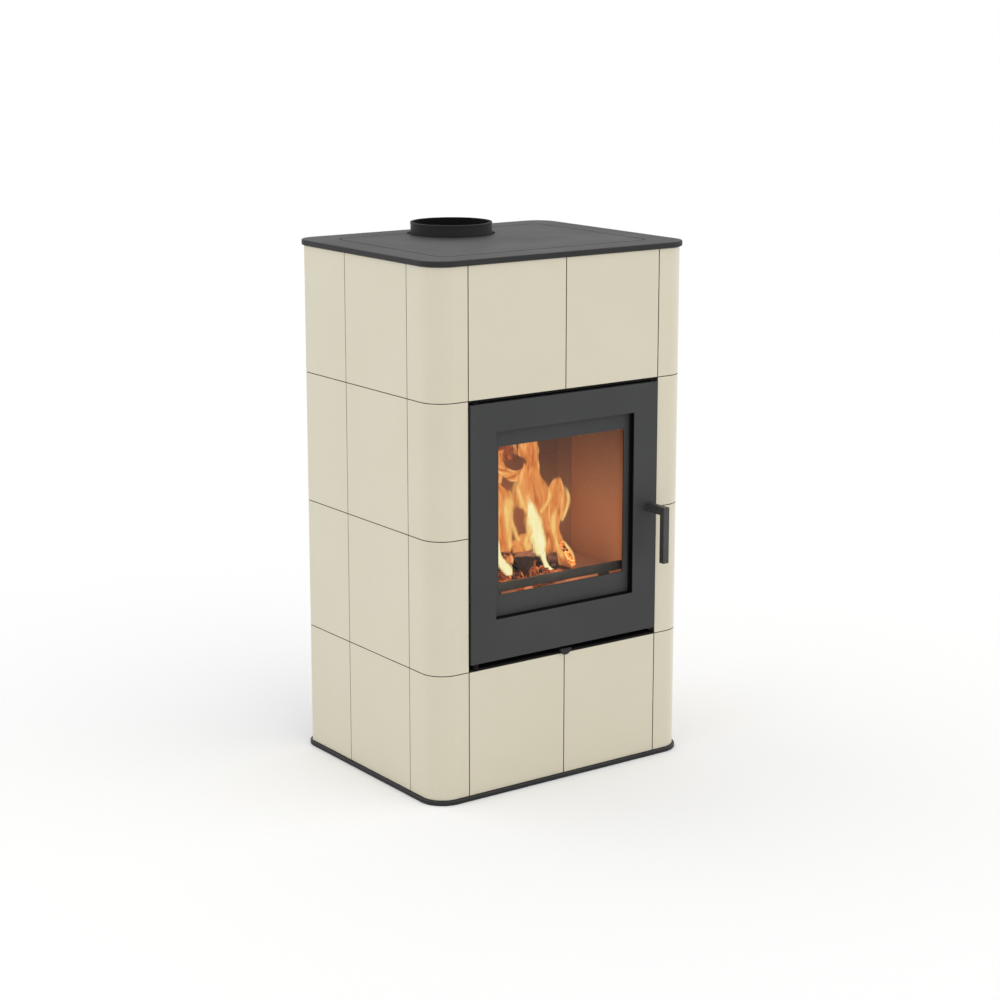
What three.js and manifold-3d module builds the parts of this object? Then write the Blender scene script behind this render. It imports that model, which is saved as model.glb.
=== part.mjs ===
// Tiled wood stove: a welded steel stove behind a shell of hollow-backed glazed tiles,
// between a cast base plate and a cast top plate, with a cast glazed door on hidden pins.
// Millimetres. X runs to the right, Y runs to the back and Z runs up.
// Depths are counted from the front face of the tiles until the whole stove is centred.

import * as THREE from 'three';
import { mergeVertices } from 'three/addons/utils/BufferGeometryUtils.js';
import Module from 'manifold-3d';

const wasm = await Module();
wasm.setup();

// ---- Clearances ----
const seat = 0.3; // between two pieces that rest on each other
const bedJoint = 0.3; // between two rows of tiles
const headJoint = 0.6; // between two tiles of one row
const cutMargin = 1; // how far a cutting tool runs past a face

// ---- Sides that stand for a full circle ----
const boreSides = 24;
const flueSides = 40;

// ---- Tile shell ----
const shellWidth = 548;
const shellDepth = 413;
const shellHeight = 926; // of the four rows of tiles
const cornerRadius = 42;
const cornerTileFront = 69; // reach of a corner tile along the front
const cornerTileSide = 82; // reach of a corner tile along the side
const sideRearTile = 136.5; // length of the rear tile of each side
const bottomRow = 224;
const topRow = 229;
const tileDepth = 22;
const tileFace = 12; // thickness behind the glaze
const tileRib = 10; // width of the rib round the hollow back
const tileEdge = 1.2; // rounding of a tile's edges
const pocketRadius = 8;

// ---- Cast plates ----
const basePlateThickness = 8;
const topPlateThickness = 10;
const plateOverhang = 4.5; // beyond the tiles, front and sides
const rearOverhang = 30; // beyond the tiles at the back, over the steel stove
const plateEdge = 1.6; // rounding of the plates' rims
const plateRearRadius = 41;
const grooveInset = 55;
const grooveWidth = 2;
const grooveDepth = 1.2;
const grooveRadius = 22;

// ---- Flue collar ----
const flueDiameter = 150;
const flueWall = 6;
const flueSetback = 95; // flue centre to the back edge of the top plate
const flueClearance = 6; // between the collar and the hole in the top plate
const collarRise = 21; // above the top plate
const collarRim = 1.5;
const flangeWidth = 16;
const flangeThickness = 4;

// ---- Steel stove body ----
const sheet = 4;
const convectionGap = 40; // between the tile backs and the steel sides
const frontPlateDepth = 26; // front face of the front plate
const bodyBehindTiles = 7; // how far the steel body stands out behind the tiles
const roofDrop = 34; // roof of the steel body below the top plate
const floorHeight = 30; // steel floor above the lower edge of the door opening
const fireOpeningInset = 43; // from the leaf's side edges to the fire opening
const fireOpeningDrop = 33; // below the upper edge of the door opening
const ledgeWidth = 20;
const ledgeThickness = 4;

// ---- Rear panel and air inlet ----
const panelGap = 10; // air gap behind the steel body
const panelThickness = 2;
const panelInset = 12; // from the steel sides
const panelBottom = 30;
const panelTopGap = 44; // below the top plate
const louvreCount = 6;
const louvreLength = 44;
const louvrePitch = 58;
const louvreHeight = 7;
const louvreRowPitch = 18;
const louvreRows = 3;
const louvreFromEdge = 30;
const inletDiameter = 100;
const inletWall = 3;
const inletHeight = 120;
const inletFlange = 12;

// ---- Steel angles and tile rails ----
const angleThickness = 3;
const angleLeg = 22;
const angleSetback = 1; // behind the tile face
const railDepth = 30;

// ---- Firebox lining ----
const liningThickness = 28;
const liningRise = 17.6; // above the upper edge of the door opening
const fluePassage = 177; // from the front of the rear lining to the back of the tiles
const liningChamfer = 19;
const hearthThickness = 28;
const hearthHeight = 114; // top of the hearth above the lower edge of the door opening
const baffleThickness = 20;
const baffleFrontGap = 44; // smoke passage in front of the baffle
const grateWidth = 200;
const grateDepth = 120;
const grateThickness = 12;
const grateRim = 15;
const grateGap = 1; // play round the grate
const grateBars = 9;
const grateSlot = 9;
const grateSetback = 96; // centre of the grate to the rear lining

// ---- Log guard ----
const guardEndGap = 18; // to the side lining
const guardDepth = 40;
const guardThickness = 6;
const guardHeight = 16.2;
const guardFootHeight = 5;
const guardFootWidth = 22;
const guardFootInset = 42; // from the guard's end to the middle of its foot

// ---- Ash pan ----
const panSideGap = 15; // pan walls to the fire opening's edge
const panFront = 84;
const panBackGap = 10; // to the back of the lining
const panHeight = 42;
const panWall = 2;
const panRim = 6;
const panGripWidth = 70;
const panGripReach = 9;

// ---- Combustion air slider ----
const sliderTravel = 40; // to each side
const sliderThickness = 3;
const stemWidth = 16;
const tabRadius = 12.5;
const tabDrop = 11.4;
const tabThickness = 4;
const tabGap = 1.5; // in front of the tile face
const shutterHalfWidth = 100;
const shutterFront = 34;
const shutterLength = 58;
const airSlotWidth = 34;
const airSlotPitch = 76;
const airSlotLength = 30;
const guideWidth = 7;
const guideThickness = 3.4;

// ---- Door ----
const leafSideGap = 2.3;
const leafTopGap = 7;
const leafBottomGap = 12.7;
const leafThickness = 12;
const leafProud = 3.5; // in front of the tile face
const leafEdge = 0.8;
const windowLip = 4; // thickness of the leaf round its window
const windowRebate = 14; // width of the step behind that lip
const windowStile = 53;
const windowBottomRail = 73.3;
const windowTopRail = 51;
const windowRadius = 2;
const innerFrameThickness = 3;
const innerFrameSideInset = 25.5; // from the leaf's edge
const innerFrameEndInset = 6;
const innerWindowSideBand = 13; // inside the leaf's window
const innerWindowTopBand = 29; // below the top of the leaf's window
const innerWindowBottomBand = 38.5; // above the bottom of the leaf's window
const glassThickness = 4;
const glassCover = 13.5; // glass behind the inner frame on each side
const retainerThickness = 2.5;
const retainerLip = 5;
const retainerCover = 8;
const sealWidth = 13;
const sealInset = 1;
const sealEdge = 4;

// ---- Hinge pins ----
const pinDiameter = 7;
const pinClearance = 0.1;
const pinInset = 12; // pin axis from the leaf's hinge edge
const pinDepth = 22;
const pinShoulder = 11;

// ---- Handle and latch ----
const spindleDiameter = 12;
const spindleClearance = 0.1;
const spindleInset = 16; // spindle axis from the leaf's free edge
const socketDepth = 14;
const barWidth = 13;
const gripThickness = 12;
const armHeight = 15;
const barEdge = 1.2;
const handleReach = 49; // leaf face to the front of the grip
const handleGap = 0.6; // between the arm and the leaf
const gripDrop = 95; // spindle axis to the lower end of the grip
const hookThickness = 4;
const hookHub = 14;
const noseReach = 15.5;
const noseWidth = 8;
const hookGap = 0.3;
const keeperWidth = 8;
const keeperDrop = 4.5; // top of the keeper's lip below the spindle axis
const keeperLip = 12;
const keeperPlate = 3;
const keeperFoot = 14;
const keeperThroat = 2.5;

// ---- Finishes ----
const glaze = new THREE.MeshStandardMaterial({ color: 0xd9d1bb, roughness: 0.22, metalness: 0 });
const castIron = new THREE.MeshStandardMaterial({ color: 0x46464a, roughness: 0.62, metalness: 0.35 });
const stovePaint = new THREE.MeshStandardMaterial({ color: 0x3a3a3c, roughness: 0.55, metalness: 0.3 });
const doorPaint = new THREE.MeshStandardMaterial({ color: 0x454546, roughness: 0.5, metalness: 0.3 });
const firebrick = new THREE.MeshStandardMaterial({ color: 0xb08058, roughness: 0.95, metalness: 0 });
const bareSteel = new THREE.MeshStandardMaterial({ color: 0x9a9a9c, roughness: 0.35, metalness: 0.9 });
const galvanised = new THREE.MeshStandardMaterial({ color: 0xa8abad, roughness: 0.45, metalness: 0.8 });
const ceramicGlass = new THREE.MeshStandardMaterial({
  color: 0xd8c8b8,
  roughness: 0.05,
  metalness: 0,
  transparent: true,
  opacity: 0.35,
});
const rope = new THREE.MeshStandardMaterial({ color: 0x8c8a84, roughness: 0.95, metalness: 0 });

// ---- Levels and places worked out from the sizes ----
const halfWidth = shellWidth / 2;
const openingBottom = basePlateThickness + bottomRow;
const middleRow = (shellHeight - bottomRow - topRow) / 2;
const openingTop = openingBottom + 2 * middleRow;
const tilesTop = openingTop + topRow;
const plateTop = tilesTop + topPlateThickness;
const openingHalfWidth = halfWidth - cornerTileFront;
const bodyHalfWidth = halfWidth - tileDepth - convectionGap;
const bodyFront = frontPlateDepth + sheet + seat;
const bodyBack = shellDepth + bodyBehindTiles;
const bodyFoot = basePlateThickness + seat;
const roofTop = tilesTop - roofDrop;
const floorBottom = openingBottom + floorHeight;
const floorTop = floorBottom + sheet;
const hearthTop = openingBottom + hearthHeight;
const hearthBottom = hearthTop - hearthThickness;
const liningFoot = hearthTop + seat;
const liningOuter = bodyHalfWidth - sheet - seat;
const liningInner = liningOuter - liningThickness;
const rearLiningDepth = shellDepth - fluePassage;
const liningBack = rearLiningDepth + liningThickness;
const grateCentre = rearLiningDepth - grateSetback;
const liningTop = openingTop + liningRise;
const liningHeight = (liningTop - liningFoot - seat) / 2;
const baffleFoot = liningTop + seat;
const flueDepth = shellDepth + rearOverhang - flueSetback;
const leafHalfWidth = openingHalfWidth + headJoint / 2 - leafSideGap;
const leafBottom = openingBottom + leafBottomGap;
const leafTop = openingTop - leafTopGap;
const leafFront = -leafProud;
const leafBack = leafFront + leafThickness;
const windowHalfWidth = leafHalfWidth - windowStile;
const windowBottom = leafBottom + windowBottomRail;
const windowTop = leafTop - windowTopRail;
const innerFrameFront = leafBack + seat;
const innerFrameBack = innerFrameFront + innerFrameThickness;
const innerFrameHalfWidth = leafHalfWidth - innerFrameSideInset;
const innerFrameBottom = leafBottom + innerFrameEndInset;
const innerFrameTop = leafTop - innerFrameEndInset;
const innerWindowHalfWidth = windowHalfWidth - innerWindowSideBand;
const innerWindowBottom = windowBottom + innerWindowBottomBand;
const innerWindowTop = windowTop - innerWindowTopBand;
const fireOpeningHalfWidth = leafHalfWidth - fireOpeningInset;
const lintelTop = openingTop - bedJoint / 2;
const sillBottom = openingBottom + bedJoint / 2;
const sillTop = sillBottom + angleThickness;
const pinX = -leafHalfWidth + pinInset;
const pinY = leafFront + leafThickness / 2;
const spindleX = leafHalfWidth - spindleInset;
const spindleZ = (leafBottom + leafTop) / 2;
const originDepth = (shellDepth + rearOverhang - leafProud - handleReach) / 2;

// ---- Ways of making a form ----

// A box between two opposite corners.
function block(low, high) {
  const size = high.map((value, axis) => value - low[axis]);
  const geometry = new THREE.BoxGeometry(...size);
  geometry.translate(...low.map((value, axis) => value + size[axis] / 2));
  return geometry;
}

// Points along an arc, ends included.
function arc(centreX, centreY, radius, from, to, steps) {
  const points = [];
  for (let i = 0; i <= steps; i += 1) {
    const angle = from + ((to - from) * i) / steps;
    points.push(new THREE.Vector2(centreX + radius * Math.cos(angle), centreY + radius * Math.sin(angle)));
  }
  return points;
}

// Outline of a rectangle with sharp corners, or with round ones, of which the upper two may differ.
function rectanglePoints(left, bottom, right, top, radius = 0, steps = 4, topRadius = radius) {
  if (radius === 0) {
    return [
      new THREE.Vector2(left, bottom),
      new THREE.Vector2(right, bottom),
      new THREE.Vector2(right, top),
      new THREE.Vector2(left, top),
    ];
  }
  const quarter = Math.PI / 2;
  return [
    ...arc(right - topRadius, top - topRadius, topRadius, 0, quarter, steps),
    ...arc(left + topRadius, top - topRadius, topRadius, quarter, 2 * quarter, steps),
    ...arc(left + radius, bottom + radius, radius, 2 * quarter, 3 * quarter, steps),
    ...arc(right - radius, bottom + radius, radius, 3 * quarter, 4 * quarter, steps),
  ];
}

function circlePoints(centreX, centreY, radius, sides) {
  return arc(centreX, centreY, radius, 0, 2 * Math.PI, sides).slice(0, -1);
}

// A flat shape from an outline and the outlines of its holes.
function sheetShape(outline, holes = []) {
  const shape = new THREE.Shape(outline);
  holes.forEach((points) => shape.holes.push(new THREE.Path(points)));
  return shape;
}

function extrude(shape, length, edge, edgeSteps) {
  return new THREE.ExtrudeGeometry(shape, {
    depth: length - 2 * edge,
    bevelEnabled: edge > 0,
    bevelThickness: edge,
    bevelSize: edge,
    bevelOffset: -edge,
    bevelSegments: edgeSteps,
    curveSegments: 1,
  }).translate(0, 0, edge);
}

// A plan shape in X and Y, raised from one level to another.
function raised(shape, bottom, top, edge = 0, edgeSteps = 1) {
  return extrude(shape, top - bottom, edge, edgeSteps).translate(0, 0, bottom);
}

// A front view shape in X and Z, reaching from one depth to another.
function upright(shape, front, back, edge = 0, edgeSteps = 1) {
  return extrude(shape, back - front, edge, edgeSteps).rotateX(Math.PI / 2).translate(0, back, 0);
}

// A side view shape in Y and Z, reaching across the stove.
function across(shape, left, right, edge = 0, edgeSteps = 1) {
  const geometry = extrude(shape, right - left, edge, edgeSteps);
  return geometry.rotateX(Math.PI / 2).rotateZ(Math.PI / 2).translate(left, 0, 0);
}

// A turned form round an upright axis. The outline closes on itself.
function turned(outline, sides, centreX, centreY) {
  const closed = [...outline, outline[0]];
  return new THREE.LatheGeometry(closed, sides).rotateX(Math.PI / 2).translate(centreX, centreY, 0);
}

function roundBar(radius, low, high, sides) {
  return raised(sheetShape(circlePoints(0, 0, radius, sides)), low, high);
}

const weldDistance = 1e-4;

function toSolid(geometry) {
  const bare = new THREE.BufferGeometry();
  bare.setAttribute('position', geometry.getAttribute('position'));
  bare.setIndex(geometry.index);
  const welded = mergeVertices(bare, weldDistance);
  const corners = welded.index.array;
  const kept = [];
  for (let i = 0; i < corners.length; i += 3) {
    const [a, b, c] = [corners[i], corners[i + 1], corners[i + 2]];
    if (a !== b && b !== c && c !== a) {
      kept.push(a, b, c);
    }
  }
  const mesh = new wasm.Mesh({
    numProp: 3,
    vertProperties: new Float32Array(welded.getAttribute('position').array),
    triVerts: new Uint32Array(kept),
  });
  return new wasm.Manifold(mesh);
}

function toGeometry(solid) {
  const mesh = solid.getMesh();
  const geometry = new THREE.BufferGeometry();
  geometry.setAttribute('position', new THREE.BufferAttribute(mesh.vertProperties, 3));
  geometry.setIndex(new THREE.BufferAttribute(mesh.triVerts, 1));
  geometry.computeVertexNormals();
  return geometry;
}

function cut(geometry, ...tools) {
  return toGeometry(tools.reduce((solid, tool) => solid.subtract(toSolid(tool)), toSolid(geometry)));
}

function join(geometry, ...others) {
  return toGeometry(others.reduce((solid, other) => solid.add(toSolid(other)), toSolid(geometry)));
}

const stove = new THREE.Group();

function piece(name, geometry, material) {
  const mesh = new THREE.Mesh(geometry, material);
  mesh.name = name;
  stove.add(mesh);
  return mesh;
}

// ---- Tiles ----

// A flat tile, face to the front, standing on its lower edge: a slab with a ribbed hollow back.
function flatTile(width, height) {
  const slab = upright(sheetShape(rectanglePoints(-width / 2, 0, width / 2, height)), 0, tileDepth, tileEdge);
  const side = width / 2 - tileRib;
  const pocketHeight = (height - 3 * tileRib) / 2;
  const pockets = [tileRib, 2 * tileRib + pocketHeight].map((foot) => {
    const outline = rectanglePoints(-side, foot, side, foot + pocketHeight, pocketRadius, 2);
    return upright(sheetShape(outline), tileFace, tileDepth + cutMargin);
  });
  return cut(slab, ...pockets);
}

// Plan of a corner tile, bent round the stove's corner, with a rib at each end. side is -1 or 1.
function cornerPlan(side) {
  const front = cornerTileFront - headJoint / 2;
  const back = cornerTileSide - headJoint / 2;
  const bend = cornerRadius;
  const points = [
    new THREE.Vector2(tileEdge, back),
    new THREE.Vector2(0, back - tileEdge),
    ...arc(bend, bend, bend, Math.PI, 1.5 * Math.PI, 9),
    new THREE.Vector2(front - tileEdge, 0),
    new THREE.Vector2(front, tileEdge),
    new THREE.Vector2(front, tileDepth),
    new THREE.Vector2(front - tileRib, tileDepth),
    new THREE.Vector2(front - tileRib, tileFace),
    ...arc(bend, bend, bend - tileFace, 1.5 * Math.PI, Math.PI, 6),
    new THREE.Vector2(tileFace, back - tileRib),
    new THREE.Vector2(tileDepth, back - tileRib),
    new THREE.Vector2(tileDepth, back),
  ];
  return sheetShape(points.map((point) => new THREE.Vector2(side * (halfWidth - point.x), point.y)));
}

const rows = [bottomRow, middleRow, middleRow, topRow];
const sides = { left: -1, right: 1 };
const sideFrontTile = shellDepth - cornerTileSide - sideRearTile;

let rowFoot = basePlateThickness;
rows.forEach((rowHeight, index) => {
  const row = index + 1;
  const foot = rowFoot + (index === 0 ? seat : bedJoint / 2);
  const head = rowFoot + rowHeight - (row === rows.length ? seat : bedJoint / 2);
  const frontSplit = cornerTileSide + sideFrontTile;
  const frontTile = flatTile(sideFrontTile - headJoint, head - foot);
  const rearTile = flatTile(sideRearTile - headJoint / 2, head - foot);
  Object.entries(sides).forEach(([sideName, side]) => {
    const onSide = [
      [`tile_${sideName}_front_${row}`, frontTile, (cornerTileSide + frontSplit) / 2],
      [`tile_${sideName}_rear_${row}`, rearTile, (frontSplit + shellDepth) / 2 + headJoint / 4],
    ];
    onSide.forEach(([name, geometry, depth]) => {
      const tile = piece(name, geometry, glaze);
      tile.rotation.z = (side * Math.PI) / 2;
      tile.position.set(side * halfWidth, depth, foot);
    });
    piece(`corner_tile_${sideName}_${row}`, raised(cornerPlan(side), foot, head, tileEdge), glaze);
  });
  if (row === 1 || row === rows.length) {
    const level = row === 1 ? 'bottom' : 'top';
    const geometry = flatTile(openingHalfWidth - headJoint, head - foot);
    Object.entries(sides).forEach(([sideName, side]) => {
      const tile = piece(`front_tile_${level}_${sideName}`, geometry, glaze);
      tile.position.set((side * openingHalfWidth) / 2, 0, foot);
    });
  }
  rowFoot += rowHeight;
});

// ---- Base plate and top plate ----

const plateLeft = -halfWidth - plateOverhang;
const plateRight = halfWidth + plateOverhang;
const plateFront = -plateOverhang;
const plateBack = shellDepth + rearOverhang;
const plateRadius = cornerRadius + plateOverhang;
const platePoints = rectanglePoints(
  plateLeft,
  plateFront,
  plateRight,
  plateBack,
  plateRadius,
  9,
  plateRearRadius,
);

piece('base_plate', raised(sheetShape(platePoints), 0, basePlateThickness, plateEdge, 2), castIron);

// Outline of the fine groove, moved in by half its width or out by it.
function groovePoints(shift) {
  const inset = grooveInset + shift;
  const radius = grooveRadius - shift;
  return rectanglePoints(
    plateLeft + inset,
    plateFront + inset,
    plateRight - inset,
    plateBack - inset,
    radius,
    5,
  );
}

const flueHoleRadius = flueDiameter / 2 + flueClearance;
const topPlateBlank = raised(sheetShape(platePoints), tilesTop, plateTop, plateEdge, 2);
const topPlateHole = raised(
  sheetShape(circlePoints(0, flueDepth, flueHoleRadius, flueSides)),
  tilesTop - cutMargin,
  plateTop + cutMargin,
);
const groove = raised(
  sheetShape(groovePoints(-grooveWidth / 2), [groovePoints(grooveWidth / 2)]),
  plateTop - grooveDepth,
  plateTop + cutMargin,
);
piece('top_plate', cut(topPlateBlank, topPlateHole, groove), castIron);

// ---- Flue collar ----

const collarOuter = flueDiameter / 2;
const collarInner = collarOuter - flueWall;
const collarTop = plateTop + collarRise;
const collarFoot = roofTop + seat;
const collarOutline = [
  new THREE.Vector2(collarInner, collarFoot),
  new THREE.Vector2(collarOuter + flangeWidth, collarFoot),
  new THREE.Vector2(collarOuter + flangeWidth, collarFoot + flangeThickness),
  new THREE.Vector2(collarOuter, collarFoot + flangeThickness),
  new THREE.Vector2(collarOuter, collarTop - collarRim),
  new THREE.Vector2(collarOuter - collarRim, collarTop),
  new THREE.Vector2(collarInner + collarRim, collarTop),
  new THREE.Vector2(collarInner, collarTop - collarRim),
];
piece('flue_collar', turned(collarOutline, flueSides, 0, flueDepth), castIron);

// ---- Steel stove body ----

const inletHoleRadius = inletDiameter / 2 - inletWall;
const bodyInside = bodyHalfWidth - sheet;
const partitionBack = liningBack + seat + sheet;
const shutterBack = shutterFront + shutterLength;
const shutterTop = floorBottom - seat;
const shutterBottom = shutterTop - sliderThickness;

// Plan of the steel sides and back, open to the front.
const wallPlan = sheetShape([
  new THREE.Vector2(-bodyHalfWidth, bodyFront),
  new THREE.Vector2(-bodyInside, bodyFront),
  new THREE.Vector2(-bodyInside, bodyBack - sheet),
  new THREE.Vector2(bodyInside, bodyBack - sheet),
  new THREE.Vector2(bodyInside, bodyFront),
  new THREE.Vector2(bodyHalfWidth, bodyFront),
  new THREE.Vector2(bodyHalfWidth, bodyBack),
  new THREE.Vector2(-bodyHalfWidth, bodyBack),
]);
const walls = raised(wallPlan, bodyFoot, roofTop - sheet - seat);

// A sheet that spans the inside of the body and is welded into its walls.
function inside(front, back, low, high) {
  return block([-bodyInside - sheet / 2, front, low], [bodyInside + sheet / 2, back, high]);
}

const steelFloor = inside(bodyFront, bodyBack - sheet / 2, floorBottom, floorTop);
const partition = inside(liningBack + seat, partitionBack, floorBottom + sheet / 2, baffleFoot - seat);
const ledges = [-1, 1].map((side) => {
  const wall = side * (bodyInside + sheet / 2);
  const edge = side * (bodyInside - ledgeWidth);
  const low = [Math.min(wall, edge), bodyFront, hearthBottom - seat - ledgeThickness];
  return block(low, [Math.max(wall, edge), liningBack + 2 * seat, hearthBottom - seat]);
});

// Rail under the floor that carries one edge of the sliding shutter. inward is 1 or -1.
function shutterGuide(depth, inward) {
  const outer = depth - inward * guideThickness;
  const inner = depth + inward * guideWidth;
  const foot = shutterBottom - seat - guideThickness;
  const profile = sheetShape([
    new THREE.Vector2(outer, foot),
    new THREE.Vector2(inner, foot),
    new THREE.Vector2(inner, shutterBottom - seat),
    new THREE.Vector2(depth - inward * seat, shutterBottom - seat),
    new THREE.Vector2(depth - inward * seat, floorBottom + sheet / 2),
    new THREE.Vector2(outer, floorBottom + sheet / 2),
  ]);
  return across(profile, -bodyInside - sheet / 2, bodyInside + sheet / 2);
}

const guides = [shutterGuide(shutterFront, 1), shutterGuide(shutterBack, -1)];
const inletHole = upright(
  sheetShape(circlePoints(0, inletHeight, inletHoleRadius, boreSides)),
  bodyBack - sheet - cutMargin,
  bodyBack + cutMargin,
);
const airMiddle = (shutterFront + shutterBack) / 2;

// Outlines of the two air slots, moved sideways by shift.
function airSlots(shift, low, high) {
  return [-1, 1].map((side) => {
    const centre = side * (airSlotPitch / 2) + shift;
    return block(
      [centre - airSlotWidth / 2, airMiddle - airSlotLength / 2, low],
      [centre + airSlotWidth / 2, airMiddle + airSlotLength / 2, high],
    );
  });
}

const bodyCuts = [inletHole, ...airSlots(0, floorBottom - cutMargin, floorTop + cutMargin)];
piece('stove_body', cut(join(walls, steelFloor, partition, ...ledges, ...guides), ...bodyCuts), stovePaint);

// The roof of the steel body, with the flue hole.
const roofOutline = rectanglePoints(-bodyHalfWidth, bodyFront, bodyHalfWidth, bodyBack);
const flueHole = circlePoints(0, flueDepth, collarInner, flueSides);
piece('stove_roof', raised(sheetShape(roofOutline, [flueHole]), roofTop - sheet, roofTop), stovePaint);

// ---- Front plate behind the door ----

const stemBottom = sillTop + seat;
const stemTop = stemBottom + sliderThickness;
const stemSlot = rectanglePoints(
  -sliderTravel - stemWidth / 2 - cutMargin,
  sillTop,
  sliderTravel + stemWidth / 2 + cutMargin,
  stemTop + cutMargin,
);
const fireOpening = rectanglePoints(
  -fireOpeningHalfWidth,
  floorTop,
  fireOpeningHalfWidth,
  openingTop - fireOpeningDrop,
  pocketRadius,
  3,
);
const frontPlateOutline = rectanglePoints(-bodyHalfWidth, bodyFoot, bodyHalfWidth, roofTop);
piece(
  'front_plate',
  upright(sheetShape(frontPlateOutline, [fireOpening, stemSlot]), frontPlateDepth, frontPlateDepth + sheet),
  stovePaint,
);

// ---- Lintel and sill angles ----

const angleFront = angleSetback;
const angleBack = frontPlateDepth - seat;
const angleEnd = openingHalfWidth - headJoint;
const pinHole = pinDiameter / 2 + pinClearance;

// Side view of an angle: a flat leg that starts at level, and a leg behind the tiles. way is 1 up, -1 down.
function anglePlan(level, way) {
  const outer = level - way * angleThickness;
  const tip = level + way * angleLeg;
  return sheetShape([
    new THREE.Vector2(angleFront, level),
    new THREE.Vector2(angleFront, outer),
    new THREE.Vector2(angleBack, outer),
    new THREE.Vector2(angleBack, tip),
    new THREE.Vector2(angleBack - angleThickness, tip),
    new THREE.Vector2(angleBack - angleThickness, level),
  ]);
}

function pinBore(low, high) {
  return roundBar(pinHole, low, high, boreSides).translate(pinX, pinY, 0);
}

const lintel = across(anglePlan(lintelTop, 1), -angleEnd, angleEnd);
const sill = across(anglePlan(sillBottom, -1), -angleEnd, angleEnd);
const lintelBottom = lintelTop - angleThickness;
piece('lintel_angle', cut(lintel, pinBore(lintelBottom - cutMargin, lintelTop + cutMargin)), stovePaint);
piece('sill_angle', cut(sill, pinBore(sillBottom - cutMargin, sillTop + cutMargin)), stovePaint);

// ---- Tile rails between the tile backs and the steel sides ----

Object.entries(sides).forEach(([sideName, side]) => {
  const outer = halfWidth - tileDepth - seat;
  const inner = bodyHalfWidth + seat;
  const front = cornerTileSide + sideFrontTile - railDepth / 2;
  const back = front + railDepth;
  const plan = [
    new THREE.Vector2(outer, front),
    new THREE.Vector2(inner, front),
    new THREE.Vector2(inner, back),
    new THREE.Vector2(inner + angleThickness, back),
    new THREE.Vector2(inner + angleThickness, front + angleThickness),
    new THREE.Vector2(outer - angleThickness, front + angleThickness),
    new THREE.Vector2(outer - angleThickness, back),
    new THREE.Vector2(outer, back),
  ].map((point) => new THREE.Vector2(side * point.x, point.y));
  piece(`tile_rail_${sideName}`, raised(sheetShape(plan), bodyFoot, tilesTop - seat), galvanised);
});

// ---- Rear panel and combustion air inlet ----

const panelHalfWidth = bodyHalfWidth - panelInset;
const panelFront = bodyBack + panelGap;
const panelBack = panelFront + panelThickness;
const panelTop = plateTop - panelTopGap;
const panelPlan = sheetShape([
  new THREE.Vector2(-panelHalfWidth, bodyBack + seat),
  new THREE.Vector2(-panelHalfWidth + panelThickness, bodyBack + seat),
  new THREE.Vector2(-panelHalfWidth + panelThickness, panelFront),
  new THREE.Vector2(panelHalfWidth - panelThickness, panelFront),
  new THREE.Vector2(panelHalfWidth - panelThickness, bodyBack + seat),
  new THREE.Vector2(panelHalfWidth, bodyBack + seat),
  new THREE.Vector2(panelHalfWidth, panelBack),
  new THREE.Vector2(-panelHalfWidth, panelBack),
]);
const louvres = [];
for (let row = 0; row < louvreRows; row += 1) {
  const rise = louvreFromEdge + row * louvreRowPitch;
  [panelTop - rise, panelBottom + inletHeight + inletDiameter / 2 + rise].forEach((level) => {
    for (let i = 0; i < louvreCount; i += 1) {
      const centre = (i - (louvreCount - 1) / 2) * louvrePitch;
      louvres.push(block(
        [centre - louvreLength / 2, panelFront - cutMargin, level - louvreHeight / 2],
        [centre + louvreLength / 2, panelBack + cutMargin, level + louvreHeight / 2],
      ));
    }
  });
}
const inletOpening = upright(
  sheetShape(circlePoints(0, inletHeight, inletDiameter / 2 + inletFlange + seat, boreSides)),
  panelFront - cutMargin,
  panelBack + cutMargin,
);
piece('rear_panel', cut(raised(panelPlan, panelBottom, panelTop), inletOpening, ...louvres), galvanised);

const inletFoot = -bodyBack - seat;
const inletOutline = [
  new THREE.Vector2(inletHoleRadius, -plateBack + seat),
  new THREE.Vector2(inletDiameter / 2, -plateBack + seat),
  new THREE.Vector2(inletDiameter / 2, inletFoot - inletWall),
  new THREE.Vector2(inletDiameter / 2 + inletFlange, inletFoot - inletWall),
  new THREE.Vector2(inletDiameter / 2 + inletFlange, inletFoot),
  new THREE.Vector2(inletHoleRadius, inletFoot),
];
const inlet = turned(inletOutline, boreSides, 0, 0).rotateX(Math.PI / 2).translate(0, 0, inletHeight);
piece('air_inlet_spigot', inlet, stovePaint);

// ---- Hearth, grate and lining ----

const hearthFront = bodyFront + 2 * seat;
const hearthBack = liningBack;
const rebateWidth = grateWidth / 2 + grateGap;
const rebateDepth = grateDepth / 2 + grateGap;
const hearthSlab = block([-liningOuter, hearthFront, hearthBottom], [liningOuter, hearthBack, hearthTop]);
const rebate = block(
  [-rebateWidth, grateCentre - rebateDepth, hearthTop - grateThickness - seat],
  [rebateWidth, grateCentre + rebateDepth, hearthTop + cutMargin],
);
const ashHole = block(
  [-grateWidth / 2 + grateRim, grateCentre - grateDepth / 2 + grateRim, hearthBottom - cutMargin],
  [grateWidth / 2 - grateRim, grateCentre + grateDepth / 2 - grateRim, hearthTop + cutMargin],
);
piece('hearth_slab', cut(hearthSlab, rebate, ashHole), firebrick);

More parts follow.
